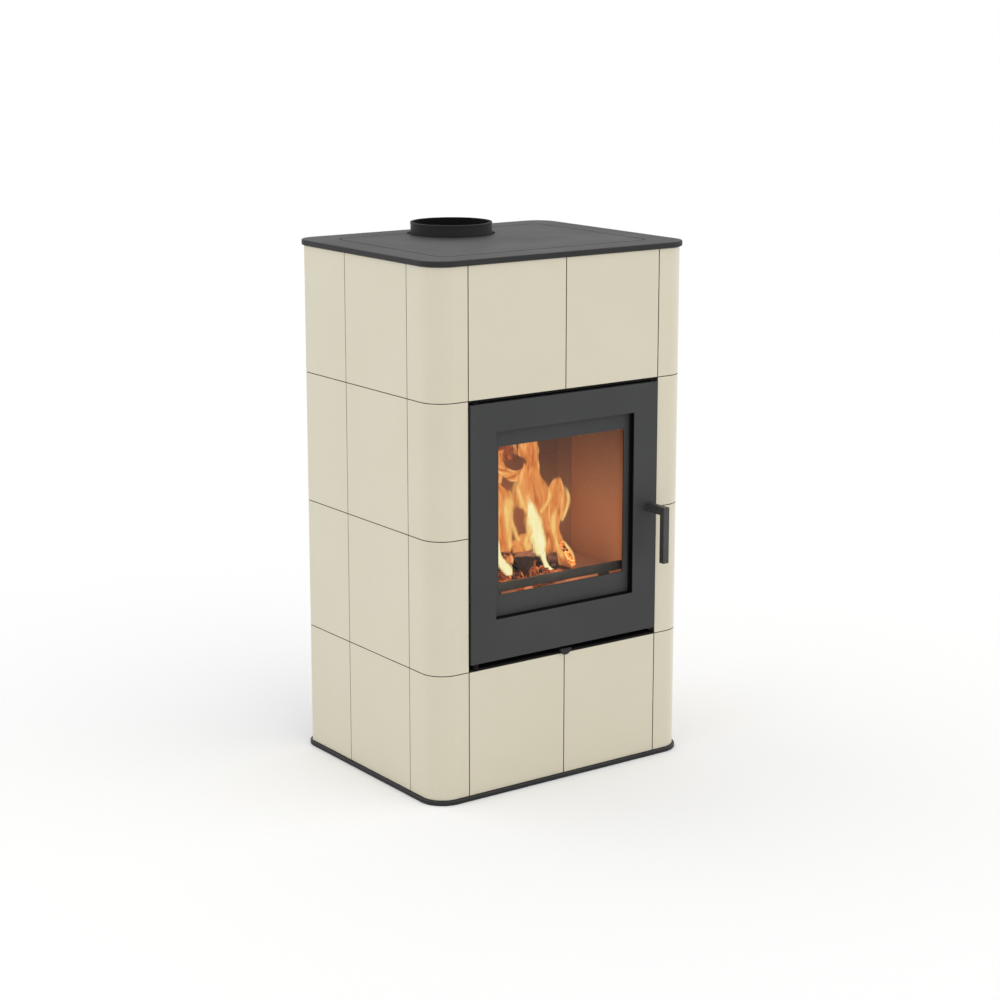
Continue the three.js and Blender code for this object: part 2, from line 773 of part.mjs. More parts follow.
const slotSpan = grateWidth - 2 * grateRim;
const slotPitch = slotSpan / grateBars;
const slots = [];
for (let i = 0; i < grateBars; i += 1) {
  const centre = (i - (grateBars - 1) / 2) * slotPitch;
  const reach = grateDepth / 2 - grateRim;
  slots.push(rectanglePoints(
    centre - grateSlot / 2,
    grateCentre - reach,
    centre + grateSlot / 2,
    grateCentre + reach,
    grateSlot / 2.5,
    2,
  ));
}
const grateOutline = rectanglePoints(
  -grateWidth / 2,
  grateCentre - grateDepth / 2,
  grateWidth / 2,
  grateCentre + grateDepth / 2,
);
piece('grate', raised(sheetShape(grateOutline, slots), hearthTop - grateThickness, hearthTop), castIron);

const courseGap = liningFoot + liningHeight;
Object.entries(sides).forEach(([sideName, side]) => {
  const near = side * liningInner;
  const far = side * liningOuter;
  const low = [Math.min(near, far), hearthFront, liningFoot];
  const high = [Math.max(near, far), liningBack, liningTop];
  piece(`lining_${sideName}`, block(low, high), firebrick);
});

const wing = liningInner - seat;
const rearPlan = sheetShape([
  new THREE.Vector2(-wing, rearLiningDepth - liningChamfer),
  new THREE.Vector2(-wing + liningChamfer, rearLiningDepth),
  new THREE.Vector2(wing - liningChamfer, rearLiningDepth),
  new THREE.Vector2(wing, rearLiningDepth - liningChamfer),
  new THREE.Vector2(wing, liningBack),
  new THREE.Vector2(-wing, liningBack),
]);
piece('lining_rear_lower', raised(rearPlan, liningFoot, courseGap), firebrick);
piece('lining_rear_upper', raised(rearPlan, courseGap + seat, liningTop), firebrick);

const baffleFront = hearthFront + baffleFrontGap;
const baffleSide = sheetShape([
  new THREE.Vector2(baffleFront, baffleFoot),
  new THREE.Vector2(partitionBack, baffleFoot),
  new THREE.Vector2(partitionBack, baffleFoot + baffleThickness),
  new THREE.Vector2(baffleFront + baffleThickness, baffleFoot + baffleThickness),
  new THREE.Vector2(baffleFront, baffleFoot + baffleThickness / 2),
]);
piece('baffle_plate', across(baffleSide, -liningOuter, liningOuter), firebrick);

// ---- Log guard ----

const guardFoot = hearthTop + seat;
const guardHalfWidth = liningInner - guardEndGap;
const guardFootPosition = guardHalfWidth - guardFootInset;
const guardBar = upright(
  sheetShape(rectanglePoints(
    -guardHalfWidth,
    guardFoot + guardFootHeight,
    guardHalfWidth,
    guardFoot + guardFootHeight + guardHeight,
    2,
    2,
  )),
  guardDepth,
  guardDepth + guardThickness,
  1,
);
const guardFeet = [-1, 1].map((side) => block(
  [side * guardFootPosition - guardFootWidth / 2, guardDepth + 1, guardFoot],
  [side * guardFootPosition + guardFootWidth / 2, guardDepth + guardThickness - 1, guardFoot + guardFootHeight + 2],
));
piece('log_guard', join(guardBar, ...guardFeet), castIron);

// ---- Ash pan ----

const panFoot = floorTop + seat;
const panTop = panFoot + panHeight;
const panBack = liningBack - panBackGap;
const panHalfWidth = fireOpeningHalfWidth - panSideGap;
const panBox = block([-panHalfWidth, panFront, panFoot], [panHalfWidth, panBack, panTop]);
const panRimBand = block(
  [-panHalfWidth - panRim, panFront - panRim, panTop - panWall],
  [panHalfWidth + panRim, panBack + panRim, panTop],
);
const panHollow = block(
  [-panHalfWidth + panWall, panFront + panWall, panFoot + panWall],
  [panHalfWidth - panWall, panBack - panWall, panTop + cutMargin],
);
const panGrip = block(
  [-panGripWidth / 2, panFront - panGripReach, panFoot + panHeight / 2],
  [panGripWidth / 2, panFront + panWall / 2, panFoot + panHeight / 2 + panWall],
);
const panGripLip = block(
  [-panGripWidth / 2, panFront - panGripReach, panFoot + panHeight / 2 - panRim],
  [panGripWidth / 2, panFront - panGripReach + panWall, panFoot + panHeight / 2 + panWall],
);
piece('ash_pan', cut(join(panBox, panRimBand, panGrip, panGripLip), panHollow), galvanised);

// ---- Combustion air slider with its finger tab ----

const tabBack = -tabGap;
const tabFront = tabBack - tabThickness;
const tabTop = stemTop + 2;
const tabArc = arc(0, 0, 1, Math.PI, 2 * Math.PI, 12).map(
  (point) => new THREE.Vector2(point.x * tabRadius, tabTop + point.y * tabDrop),
);
const tab = upright(sheetShape(tabArc), tabFront, tabBack, 1);
const webFront = shutterFront + guideWidth + tabGap;
const webBack = webFront + sliderThickness;
const web = block(
  [-stemWidth / 2, webFront, stemBottom],
  [stemWidth / 2, webBack, shutterBottom + sliderThickness / 2],
);
const stem = block([-stemWidth / 2, tabBack - tabThickness / 2, stemBottom], [stemWidth / 2, webBack, stemTop]);
const shutter = block([-shutterHalfWidth, shutterFront, shutterBottom], [shutterHalfWidth, shutterBack, shutterTop]);
const shutterHoles = airSlots(sliderTravel, shutterBottom - cutMargin, shutterTop + cutMargin);
piece('air_slider', join(cut(shutter, ...shutterHoles), web, stem, tab), stovePaint);

// ---- Door leaf ----

const leafOutline = rectanglePoints(-leafHalfWidth, leafBottom, leafHalfWidth, leafTop);
const windowOutline = rectanglePoints(
  -windowHalfWidth,
  windowBottom,
  windowHalfWidth,
  windowTop,
  windowRadius,
  2,
);
const leafBlank = upright(sheetShape(leafOutline, [windowOutline]), leafFront, leafBack, leafEdge);
const spindleBore = upright(
  sheetShape(circlePoints(spindleX, spindleZ, spindleDiameter / 2 + spindleClearance, boreSides)),
  leafFront - cutMargin,
  leafBack + cutMargin,
);
const lipRebate = upright(
  sheetShape(rectanglePoints(
    -windowHalfWidth - windowRebate,
    windowBottom - windowRebate,
    windowHalfWidth + windowRebate,
    windowTop + windowRebate,
  )),
  leafFront + windowLip,
  leafBack + cutMargin,
);
const leafCuts = [
  pinBore(leafTop - pinDepth - seat, leafTop + cutMargin),
  pinBore(leafBottom - cutMargin, leafBottom + pinDepth + seat),
  spindleBore,
  lipRebate,
];
piece('door_leaf', cut(leafBlank, ...leafCuts), doorPaint);

// A flat ring between an outer and an inner rectangle, both centred across the stove.
function ring(outer, inner, front, back, edge = 0, edgeSteps = 1) {
  const outline = rectanglePoints(-outer.halfWidth, outer.bottom, outer.halfWidth, outer.top, outer.radius, 3);
  const hole = rectanglePoints(-inner.halfWidth, inner.bottom, inner.halfWidth, inner.top, inner.radius, 3);
  return upright(sheetShape(outline, [hole]), front, back, edge, edgeSteps);
}

// A rectangle moved outwards by grow on every side.
function grown(rectangle, grow) {
  return {
    halfWidth: rectangle.halfWidth + grow,
    bottom: rectangle.bottom - grow,
    top: rectangle.top + grow,
    radius: Math.max(rectangle.radius + grow, 0),
  };
}

const innerFrameRectangle = {
  halfWidth: innerFrameHalfWidth,
  bottom: innerFrameBottom,
  top: innerFrameTop,
  radius: sealWidth,
};
const innerWindow = {
  halfWidth: innerWindowHalfWidth,
  bottom: innerWindowBottom,
  top: innerWindowTop,
  radius: 3,
};
piece('inner_frame', ring(innerFrameRectangle, innerWindow, innerFrameFront, innerFrameBack), doorPaint);

const glassFront = innerFrameBack + seat;
const glassBack = glassFront + glassThickness;
const glassRectangle = grown(innerWindow, glassCover);
const glassOutline = rectanglePoints(
  -glassRectangle.halfWidth,
  glassRectangle.bottom,
  glassRectangle.halfWidth,
  glassRectangle.top,
);
piece('door_glass', upright(sheetShape(glassOutline), glassFront, glassBack, 0.5), ceramicGlass);

const retainerInner = { ...grown(glassRectangle, -retainerCover), radius: 3 };
const retainerStep = { ...grown(glassRectangle, 2 * seat), radius: 1 };
const retainerOuter = { ...grown(glassRectangle, retainerLip), radius: 3 };
const retainerPlate = ring(retainerOuter, retainerInner, glassBack + seat, glassBack + seat + retainerThickness);
const retainerEdge = ring(retainerOuter, retainerStep, glassFront, glassBack + 2 * seat);
piece('glass_retainer', join(retainerPlate, retainerEdge), stovePaint);

const sealOuter = { ...grown(innerFrameRectangle, -sealInset), radius: 2 * sealWidth };
const sealInner = { ...grown(sealOuter, -sealWidth), radius: sealWidth };
piece('door_seal', ring(sealOuter, sealInner, glassFront, frontPlateDepth - seat, sealEdge, 2), rope);

// ---- Hinge pins ----

// A pin with a shoulder between the leaf and the angle. leafEdgeLevel is where the leaf ends, way is 1 up.
function hingePin(leafEdgeLevel, shoulderEnd, tip, way) {
  const shank = [leafEdgeLevel - way * pinDepth, tip].sort((a, b) => a - b);
  const shoulder = [leafEdgeLevel + way * seat, shoulderEnd].sort((a, b) => a - b);
  const pin = roundBar(pinDiameter / 2, ...shank, boreSides);
  return join(pin, roundBar(pinShoulder / 2, ...shoulder, boreSides)).translate(pinX, pinY, 0);
}

piece('hinge_pin_upper', hingePin(leafTop, lintelBottom - seat, lintelTop, 1), bareSteel);
piece('hinge_pin_lower', hingePin(leafBottom, sillTop + seat, sillBottom, -1), bareSteel);

// ---- Handle, spindle and latch ----

const gripFront = leafFront - handleReach;
const armBack = leafFront - handleGap;
const barHalf = barWidth / 2;
const armTop = spindleZ + armHeight / 2;
const armBottom = spindleZ - armHeight / 2;
const gripBack = gripFront + gripThickness;
const leverProfile = sheetShape([
  new THREE.Vector2(armBack, armTop),
  new THREE.Vector2(armBack, armBottom),
  new THREE.Vector2(gripBack, armBottom),
  new THREE.Vector2(gripBack, spindleZ - gripDrop),
  new THREE.Vector2(gripFront, spindleZ - gripDrop),
  new THREE.Vector2(gripFront, armTop),
]);
const lever = across(leverProfile, spindleX - barHalf, spindleX + barHalf, barEdge, 2);
const socket = upright(
  sheetShape(circlePoints(spindleX, spindleZ, spindleDiameter / 2 + spindleClearance, boreSides)),
  armBack - socketDepth,
  armBack + cutMargin,
);
piece('handle_lever', cut(lever, socket), doorPaint);

const hookFront = innerFrameBack + hookGap;
const hookBack = hookFront + hookThickness;
const spindle = upright(
  sheetShape(circlePoints(spindleX, spindleZ, spindleDiameter / 2, boreSides)),
  armBack - socketDepth + seat,
  hookBack,
);
const hub = upright(sheetShape(circlePoints(spindleX, spindleZ, hookHub / 2, boreSides)), hookFront, hookBack);
const nose = block(
  [spindleX, hookFront, spindleZ - noseWidth / 2],
  [spindleX + noseReach, hookBack, spindleZ + noseWidth / 2],
);
piece('latch_spindle', join(spindle, hub, nose), bareSteel);

const keeperRight = leafHalfWidth;
const keeperLeft = keeperRight - keeperWidth;
const lipTop = spindleZ - keeperDrop;
const lipBottom = lipTop - keeperLip;
const keeperBack = frontPlateDepth - seat;
const keeperProfile = sheetShape([
  new THREE.Vector2(hookFront - seat, lipTop),
  new THREE.Vector2(hookFront - seat - keeperThroat, lipTop),
  new THREE.Vector2(hookFront - seat - keeperThroat, lipBottom - keeperPlate),
  new THREE.Vector2(keeperBack - keeperPlate, lipBottom - keeperPlate),
  new THREE.Vector2(keeperBack - keeperPlate, lipBottom - keeperPlate - keeperFoot),
  new THREE.Vector2(keeperBack, lipBottom - keeperPlate - keeperFoot),
  new THREE.Vector2(keeperBack, lipBottom),
  new THREE.Vector2(hookFront - seat, lipBottom),
]);
piece('latch_keeper', across(keeperProfile, keeperLeft, keeperRight), bareSteel);

// The origin is on the floor, under the middle of the whole stove, handle and plates included.
stove.position.y = -originDepth;

export default stove;
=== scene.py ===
import math
import random

import bmesh
import bpy
from mathutils import Matrix, Vector, noise


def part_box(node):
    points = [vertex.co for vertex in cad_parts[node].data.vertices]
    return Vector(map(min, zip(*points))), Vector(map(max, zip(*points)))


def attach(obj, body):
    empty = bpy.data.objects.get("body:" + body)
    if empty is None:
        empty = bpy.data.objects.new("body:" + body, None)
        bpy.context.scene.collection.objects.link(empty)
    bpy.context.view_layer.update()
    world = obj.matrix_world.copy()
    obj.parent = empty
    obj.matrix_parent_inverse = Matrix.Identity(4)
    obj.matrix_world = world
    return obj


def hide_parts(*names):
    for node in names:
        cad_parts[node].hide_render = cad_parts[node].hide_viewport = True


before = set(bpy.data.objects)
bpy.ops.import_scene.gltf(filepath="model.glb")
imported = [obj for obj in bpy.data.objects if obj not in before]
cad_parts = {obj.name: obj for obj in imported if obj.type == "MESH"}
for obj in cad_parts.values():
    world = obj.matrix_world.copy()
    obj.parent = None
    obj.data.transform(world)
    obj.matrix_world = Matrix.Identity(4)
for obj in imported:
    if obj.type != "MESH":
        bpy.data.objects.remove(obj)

scene = bpy.context.scene
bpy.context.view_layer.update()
mm = 0.001
tiny = 1e-6
print("frame loaded")


def addObject(name, data):
    made = bpy.data.objects.new(name, data)
    scene.collection.objects.link(made)
    return made


# camera, at the photograph's viewing angle

cameraForm = {
    "position": (-2.3053, -3.21329, 1.39151),
    "pitch": 11.8132,
    "yaw": -35.6578,
    "lens": 80.461,
    "sensor": 36.0,
    "shiftY": -0.05,
    "nearest": 0.05,
    "furthest": 60,
}

cameraData = bpy.data.cameras.new("photo_camera")
cameraData.lens = cameraForm["lens"]
cameraData.sensor_width = cameraForm["sensor"]
cameraData.shift_y = cameraForm["shiftY"]
cameraData.clip_start = cameraForm["nearest"]
cameraData.clip_end = cameraForm["furthest"]
camera = addObject("photo_camera", cameraData)
camera.location = cameraForm["position"]
camera.rotation_euler = (math.radians(90 - cameraForm["pitch"]), 0, math.radians(cameraForm["yaw"]))
scene.camera = camera

# node helpers


def fill(tree, node, values):
    # gives each input its plain value, or links it to the output that feeds it
    for name, value in values.items():
        if isinstance(value, bpy.types.NodeSocket):
            tree.links.new(value, node.inputs[name])
        else:
            node.inputs[name].default_value = value
    return node


def nodeOf(tree, kind, values=None, **settings):
    node = tree.nodes.new(kind)
    for name, value in settings.items():
        setattr(node, name, value)
    return fill(tree, node, values or {})


def mathNode(tree, operation, *values, clamp=False):
    inputs = dict(enumerate(values))
    return nodeOf(tree, "ShaderNodeMath", inputs, operation=operation, use_clamp=clamp).outputs[0]


def vectorNode(tree, operation, values):
    return nodeOf(tree, "ShaderNodeVectorMath", values, operation=operation).outputs[0]


def rangeNode(tree, value, source, target=(0.0, 1.0), smooth=False):
    # carries a value from one range to another
    node = nodeOf(tree, "ShaderNodeMapRange", interpolation_type="SMOOTHSTEP" if smooth else "LINEAR")
    limits = {"From Min": source[0], "From Max": source[1], "To Min": target[0], "To Max": target[1]}
    return fill(tree, node, {"Value": value, **limits}).outputs["Result"]


def rampNode(tree, factor, stops):
    node = nodeOf(tree, "ShaderNodeValToRGB", {"Fac": factor})
    ramp = node.color_ramp
    while len(ramp.elements) < len(stops):
        ramp.elements.new(0.5)
    for element, (place, colour) in zip(ramp.elements, stops):
        element.position = place
        element.color = (*colour, 1.0)
    return node.outputs["Color"]


def twoTones(tree, value, dark, light):
    # the noise stays mostly between these two values
    return rampNode(tree, value, [(0.35, dark), (0.65, light)])


def mixColour(tree, factor, first, second, blend="MIX"):
    node = nodeOf(tree, "ShaderNodeMix", data_type="RGBA", blend_type=blend)
    fill(tree, node, {"Factor": factor})
    for target, value in zip([s for s in node.inputs if s.type == "RGBA"], (first, second)):
        if isinstance(value, tuple):
            target.default_value = (*value, 1.0)
        else:
            tree.links.new(value, target)
    return [s for s in node.outputs if s.type == "RGBA"][0]


def partsOf(tree, vector):
    return nodeOf(tree, "ShaderNodeSeparateXYZ", {0: vector}).outputs


def makeGrainGroup():
    # fine grain over a broad, soft mottle
    tree = bpy.data.node_groups.new("surfaceGrain", "ShaderNodeTree")
    tree.interface.new_socket("Vector", in_out="INPUT", socket_type="NodeSocketVector")
    for name in ("Grain Scale", "Mottle Scale", "Grain Share"):
        tree.interface.new_socket(name, in_out="INPUT", socket_type="NodeSocketFloat")
    for name in ("Height", "Mottle"):
        tree.interface.new_socket(name, in_out="OUTPUT", socket_type="NodeSocketFloat")
    source = nodeOf(tree, "NodeGroupInput").outputs
    noises = []
    for scale, detail, roughness in (("Grain Scale", 3, 0.6), ("Mottle Scale", 2, 0.5)):
        values = {"Vector": source["Vector"], "Scale": source[scale]}
        texture = nodeOf(tree, "ShaderNodeTexNoise", {**values, "Detail": detail, "Roughness": roughness})
        noises.append(texture.outputs["Fac"])
    fine, broad = noises
    share = source["Grain Share"]
    grain = mathNode(tree, "MULTIPLY", fine, share)
    rest = mathNode(tree, "MULTIPLY", broad, mathNode(tree, "SUBTRACT", 1.0, share))
    nodeOf(tree, "NodeGroupOutput", {"Height": mathNode(tree, "ADD", grain, rest), "Mottle": broad})
    return tree


grainGroup = makeGrainGroup()


def grainNode(tree, place, grainScale, mottleScale, grainShare):
    values = {"Grain Scale": grainScale, "Mottle Scale": mottleScale, "Grain Share": grainShare}
    return nodeOf(tree, "ShaderNodeGroup", {"Vector": place, **values}, node_tree=grainGroup).outputs


def startMaterial(name):
    material = bpy.data.materials.new(name)
    material.use_nodes = True
    tree = material.node_tree
    tree.nodes.clear()
    surface = nodeOf(tree, "ShaderNodeBsdfPrincipled")
    nodeOf(tree, "ShaderNodeOutputMaterial", {"Surface": surface.outputs[0]})
    return material, tree, surface, nodeOf(tree, "ShaderNodeTexCoord").outputs["Object"]


def bumpFrom(tree, surface, height, strength, distance):
    node = nodeOf(tree, "ShaderNodeBump", {"Height": height, "Strength": strength, "Distance": distance})
    fill(tree, surface, {"Normal": node.outputs["Normal"]})


def grainedMaterial(name, look):
    # a plain finish: two tones that mottle softly, fine grain and a varied sheen
    material, tree, surface, place = startMaterial(name)
    grain = grainNode(tree, place, *look["grain"])
    tone = twoTones(tree, grain["Mottle"], look["dark"], look["light"])
    speckle = rampNode(tree, grain["Height"], [(0.3, (look["speckle"],) * 3), (0.7, (1.0, 1.0, 1.0))])
    finish = {
        "Base Color": mixColour(tree, 1.0, tone, speckle, "MULTIPLY"),
        "Roughness": rangeNode(tree, grain["Mottle"], (0.3, 0.7), look["rough"]),
        "Metallic": look.get("metallic", 0.0),
        "Specular IOR Level": look.get("specular", 0.5),
    }
    fill(tree, surface, finish)
    bumpFrom(tree, surface, grain["Height"], *look["bump"])
    return material


# finishes; grain is the scale of the grain, that of the mottle and the grain's share, and bump is
# the strength and the depth in metres

castIronLook = {
    "dark": (0.030, 0.030, 0.031),
    "light": (0.038, 0.038, 0.039),
    "speckle": 0.8,
    "grain": (1100.0, 9.0, 0.8),
    "rough": (0.52, 0.62),
    "specular": 0.34,
    "bump": (0.5, 0.0004),
}
# painted shade: a darker copy of the cast iron for the plates' sides and the top plate's groove
castIronShadeLook = {
    **castIronLook,
    "dark": (0.017, 0.017, 0.017),
    "light": (0.022, 0.022, 0.022),
    "rough": (0.5, 0.6),
    "specular": 0.28,
}
# near black: the hinge pins' own black, and painted shade in the window's rebate, the strip round the
# window, the sill and lintel angles and the flue collar's bore and rim
blackAndShadeLook = {
    "dark": (0.004, 0.004, 0.004),
    "light": (0.007, 0.007, 0.007),
    "speckle": 0.85,
    "grain": (1300.0, 20.0, 0.7),
    "rough": (0.7, 0.8),
    "specular": 0.12,
    "bump": (0.3, 0.0002),
}
collarPaintLook = {
    **blackAndShadeLook,
    "dark": (0.018, 0.018, 0.018),
    "light": (0.024, 0.024, 0.024),
    "rough": (0.5, 0.6),
    "specular": 0.25,
}
stovePaintLook = {
    **blackAndShadeLook,
    "dark": (0.014, 0.014, 0.015),
    "light": (0.020, 0.020, 0.021),
    "grain": (1300.0, 7.0, 0.7),
    "rough": (0.55, 0.68),
    "specular": 0.3,
}
guardLook = {
    "dark": (0.090, 0.088, 0.078),
    "light": (0.110, 0.107, 0.095),
    "speckle": 0.85,
    "grain": (1100.0, 30.0, 0.6),
    "rough": (0.55, 0.7),
    "specular": 0.3,
    "bump": (0.4, 0.0003),
}
doorPaintLook = {
    "dark": (0.036, 0.037, 0.037),
    "light": (0.043, 0.044, 0.044),
    "speckle": 0.92,
    "grain": (1600.0, 6.0, 0.7),
    "rough": (0.5, 0.58),
    "specular": 0.32,
    "bump": (0.25, 0.0002),
}
handlePaintLook = {
    **doorPaintLook,
    "dark": (0.046, 0.047, 0.046),
    "light": (0.055, 0.056, 0.055),
    "grain": (1600.0, 30.0, 0.7),
    "rough": (0.42, 0.5),
    "specular": 0.4,
    "bump": (0.2, 0.0002),
}
bisqueLook = {
    "dark": (0.42, 0.30, 0.22),
    "light": (0.52, 0.39, 0.29),
    "speckle": 0.75,
    "grain": (700.0, 30.0, 0.6),
    "rough": (0.85, 0.95),
    "bump": (0.6, 0.0004),
}
jointLook = {
    "dark": (0.085, 0.072, 0.055),
    "light": (0.12, 0.10, 0.08),
    "speckle": 0.8,
    "grain": (900.0, 40.0, 0.6),
    "rough": (0.8, 0.9),
    "specular": 0.2,
    "bump": (0.4, 0.0003),
}
# painted light: a paler copy of the joint for the upright joints of the side walls
jointPaintedLightLook = {
    **jointLook,
    "dark": (0.38, 0.345, 0.275),
    "light": (0.44, 0.40, 0.32),
    "speckle": 0.85,
    "rough": (0.7, 0.8),
    "bump": (0.3, 0.0003),
}
steelLook = {
    "dark": (0.42, 0.42, 0.43),
    "light": (0.52, 0.52, 0.53),
    "speckle": 0.9,
    "grain": (2400.0, 60.0, 0.7),
    "rough": (0.28, 0.4),
    "metallic": 1.0,
    "bump": (0.15, 0.0001),
}
castIron = grainedMaterial("cast_iron", castIronLook)
castIronShade = grainedMaterial("cast_iron_painted_shade", castIronShadeLook)
blackAndShade = grainedMaterial("black_paint_and_painted_shade", blackAndShadeLook)
guardIron = grainedMaterial("guard_iron", guardLook)
collarPaint = grainedMaterial("collar_paint", collarPaintLook)
doorPaint = grainedMaterial("door_paint", doorPaintLook)
handlePaint = grainedMaterial("handle_paint", handlePaintLook)
stovePaint = grainedMaterial("stove_paint", stovePaintLook)
bisque = grainedMaterial("bisque", bisqueLook)
joint = grainedMaterial("tile_joint", jointLook)
jointPaintedLight = grainedMaterial("tile_joint_painted_light", jointPaintedLightLook)
steel = grainedMaterial("steel", steelLook)

zincLook = {
    "dark": (0.40, 0.41, 0.42),
    "light": (0.54, 0.55, 0.56),
    "grain": (900.0, 22.0, 0.4),
    "spangleScale": 95.0,
    "spangleShare": 0.6,
    "stirScale": 110.0,
    "stir": 0.006,
    "rough": (0.34, 0.52),
    "metallic": 0.9,
    "bump": (0.1, 0.0001),
}


def makeZinc():
    # galvanised sheet: spangles about a centimetre wide, each with its own tone and sheen
    look = zincLook
    material, tree, surface, place = startMaterial("zinc")
    grain = grainNode(tree, place, *look["grain"])
    stir = nodeOf(tree, "ShaderNodeTexNoise", {"Vector": place, "Scale": look["stirScale"]})
    shift = vectorNode(tree, "SCALE", {0: stir.outputs["Color"], "Scale": look["stir"]})
    bent = vectorNode(tree, "ADD", {0: place, 1: shift})
    spangle = nodeOf(tree, "ShaderNodeTexVoronoi", {"Vector": bent, "Scale": look["spangleScale"]})
    share = nodeOf(tree, "ShaderNodeSeparateColor", {0: spangle.outputs["Color"]}).outputs
    mottle = mathNode(tree, "MULTIPLY", grain["Mottle"], 1 - look["spangleShare"])
    mixed = mathNode(tree, "MULTIPLY_ADD", share[0], look["spangleShare"], mottle)
    finish = {
        "Base Color": rampNode(tree, mixed, [(0.15, look["dark"]), (0.85, look["light"])]),
        "Roughness": rangeNode(tree, share[1], (0.0, 1.0), look["rough"]),
        "Metallic": look["metallic"],
    }
    fill(tree, surface, finish)
    bumpFrom(tree, surface, grain["Height"], *look["bump"])
    return material


zinc = makeZinc()

glazeLook = {
    "dark": (0.655, 0.606, 0.464),
    "light": (0.668, 0.619, 0.478),
    "grain": (260.0, 7.0, 0.06),
    "bump": (0.12, 0.0012),
    "finish": {"Roughness": 0.32, "Coat Weight": 0.55, "Coat Roughness": 0.09},
}
ropeLook = {
    "dark": (0.10, 0.095, 0.09),
    "light": (0.26, 0.25, 0.235),
    "grain": (1500.0, 60.0, 0.5),
    "bump": (0.7, 0.0006),
    "finish": {"Roughness": 0.9, "Sheen Weight": 0.3},
}


def coatedMaterial(name, look, toneFrom):
    # two tones that follow the mottle or the height, with an even sheen
    material, tree, surface, place = startMaterial(name)
    grain = grainNode(tree, place, *look["grain"])
    tone = twoTones(tree, grain[toneFrom], look["dark"], look["light"])
    fill(tree, surface, {"Base Color": tone, **look["finish"]})
    bumpFrom(tree, surface, grain["Height"], *look["bump"])
    return material


# poured glaze has slow waves under a clear gloss, and the braided rope is greyed by use
glaze = coatedMaterial("glaze", glazeLook, "Mottle")
rope = coatedMaterial("rope", ropeLook, "Height")

sideBrickLook = {
    "clean": (0.455, 0.266, 0.152),
    "pale": (0.485, 0.289, 0.168),
    "sootAndShade": (0.04, 0.03, 0.025),
    "sootRise": (0.52, 0.88),
    "sootShare": 0.8,
}
rearBrickLook = {
    "clean": (0.30, 0.185, 0.125),
    "pale": (0.35, 0.22, 0.15),
    "sootAndShade": (0.04, 0.03, 0.027),
    "sootRise": (0.46, 0.78),
    "sootShare": 0.8,
}
hearthLook = {
    "clean": (0.56, 0.34, 0.21),
    "pale": (0.64, 0.40, 0.26),
    "sootAndShade": (0.05, 0.045, 0.04),
    "sootRise": (0.68, 0.98),
    "sootShare": 0.5,
    "shadedFront": 0.5,
}
brickForm = {"grain": (520.0, 13.0, 0.45), "cloud": 0.16, "bump": (0.05, 0.0003)}


def makeFirebrick(name, look):
    # sandy brick with soot that thickens towards the top of the firebox
    material, tree, surface, place = startMaterial(name)
    grain = grainNode(tree, place, *brickForm["grain"])
    brick = twoTones(tree, grain["Height"], look["clean"], look["pale"])
    rise = partsOf(tree, place)["Z"]
    cloud = mathNode(tree, "MULTIPLY_ADD", grain["Mottle"], brickForm["cloud"], rise)
    sootMask = rangeNode(tree, cloud, look["sootRise"], (0.0, look["sootShare"]), smooth=True)
    colour = mixColour(tree, sootMask, brick, look["sootAndShade"])
    if "shadedFront" in look:
        # painted shade: faces towards the door are darkened
        facing = partsOf(tree, nodeOf(tree, "ShaderNodeNewGeometry").outputs["Normal"])["Y"]
        frontShadeMask = rangeNode(tree, facing, (-0.9, -0.5), (look["shadedFront"], 0.0))
        colour = mixColour(tree, frontShadeMask, colour, look["sootAndShade"])
    fill(tree, surface, {"Base Color": colour, "Roughness": 0.92, "Specular IOR Level": 0.2})
    bumpFrom(tree, surface, grain["Height"], *brickForm["bump"])
    return material


sideBrick = makeFirebrick("side_brick", sideBrickLook)
rearBrick = makeFirebrick("rear_brick", rearBrickLook)
hearthBrick = makeFirebrick("hearth_brick", hearthLook)

glassLook = {"tint": (0.93, 0.90, 0.86, 1.0), "index": 1.2, "grain": (60.0, 5.0, 0.0), "rough": (0.0, 0.035)}


def makeGlass():
    # clear ceramic glass with a faint amber cast
    material, tree, surface, place = startMaterial("door_glass")
    grain = grainNode(tree, place, *glassLook["grain"])
    rough = rangeNode(tree, grain["Mottle"], (0.0, 1.0), glassLook["rough"])
    fill(tree, surface, {"Base Color": glassLook["tint"], "IOR": glassLook["index"], "Roughness": rough})
    surface.inputs["Transmission Weight"].default_value = 1.0
    return material


glass = makeGlass()
print("finishes made")

# mesh helpers


def move(bm, vector):
    bmesh.ops.translate(bm, vec=vector, verts=bm.verts)


def turn(bm, matrix):
    bmesh.ops.rotate(bm, cent=(0, 0, 0), matrix=matrix, verts=bm.verts)


def faceOutwards(bm):
    bmesh.ops.recalc_face_normals(bm, faces=bm.faces[:])


def everythingIn(bm):
    return bm.verts[:] + bm.edges[:] + bm.faces[:]


def dissolveFlat(bm):
    # joins faces and edges that lie in one plane
    bmesh.ops.dissolve_limit(bm, angle_limit=math.radians(1), verts=bm.verts[:], edges=bm.edges[:])


def boxMesh(low, high):
    # a bmesh block between two opposite corners
    bm = bmesh.new()
    bmesh.ops.create_cube(bm, size=1.0)
    low, high = Vector(low), Vector(high)
    bmesh.ops.scale(bm, vec=high - low, verts=bm.verts)
    move(bm, (low + high) / 2)
    return bm


def sharpEdges(bm, degrees=40):
    bm.normal_update()
    limit = math.radians(degrees)
    return [e for e in bm.edges if len(e.link_faces) == 2 and e.calc_face_angle(0) > limit]


def roundEdges(bm, edges, width, segments=3):
    bmesh.ops.bevel(
        bm,
        geom=edges,
        offset=width,
        offset_type="OFFSET",
        affect="EDGES",
        segments=segments,
        profile=0.5,
        material=-1,
        clamp_overlap=True,
    )


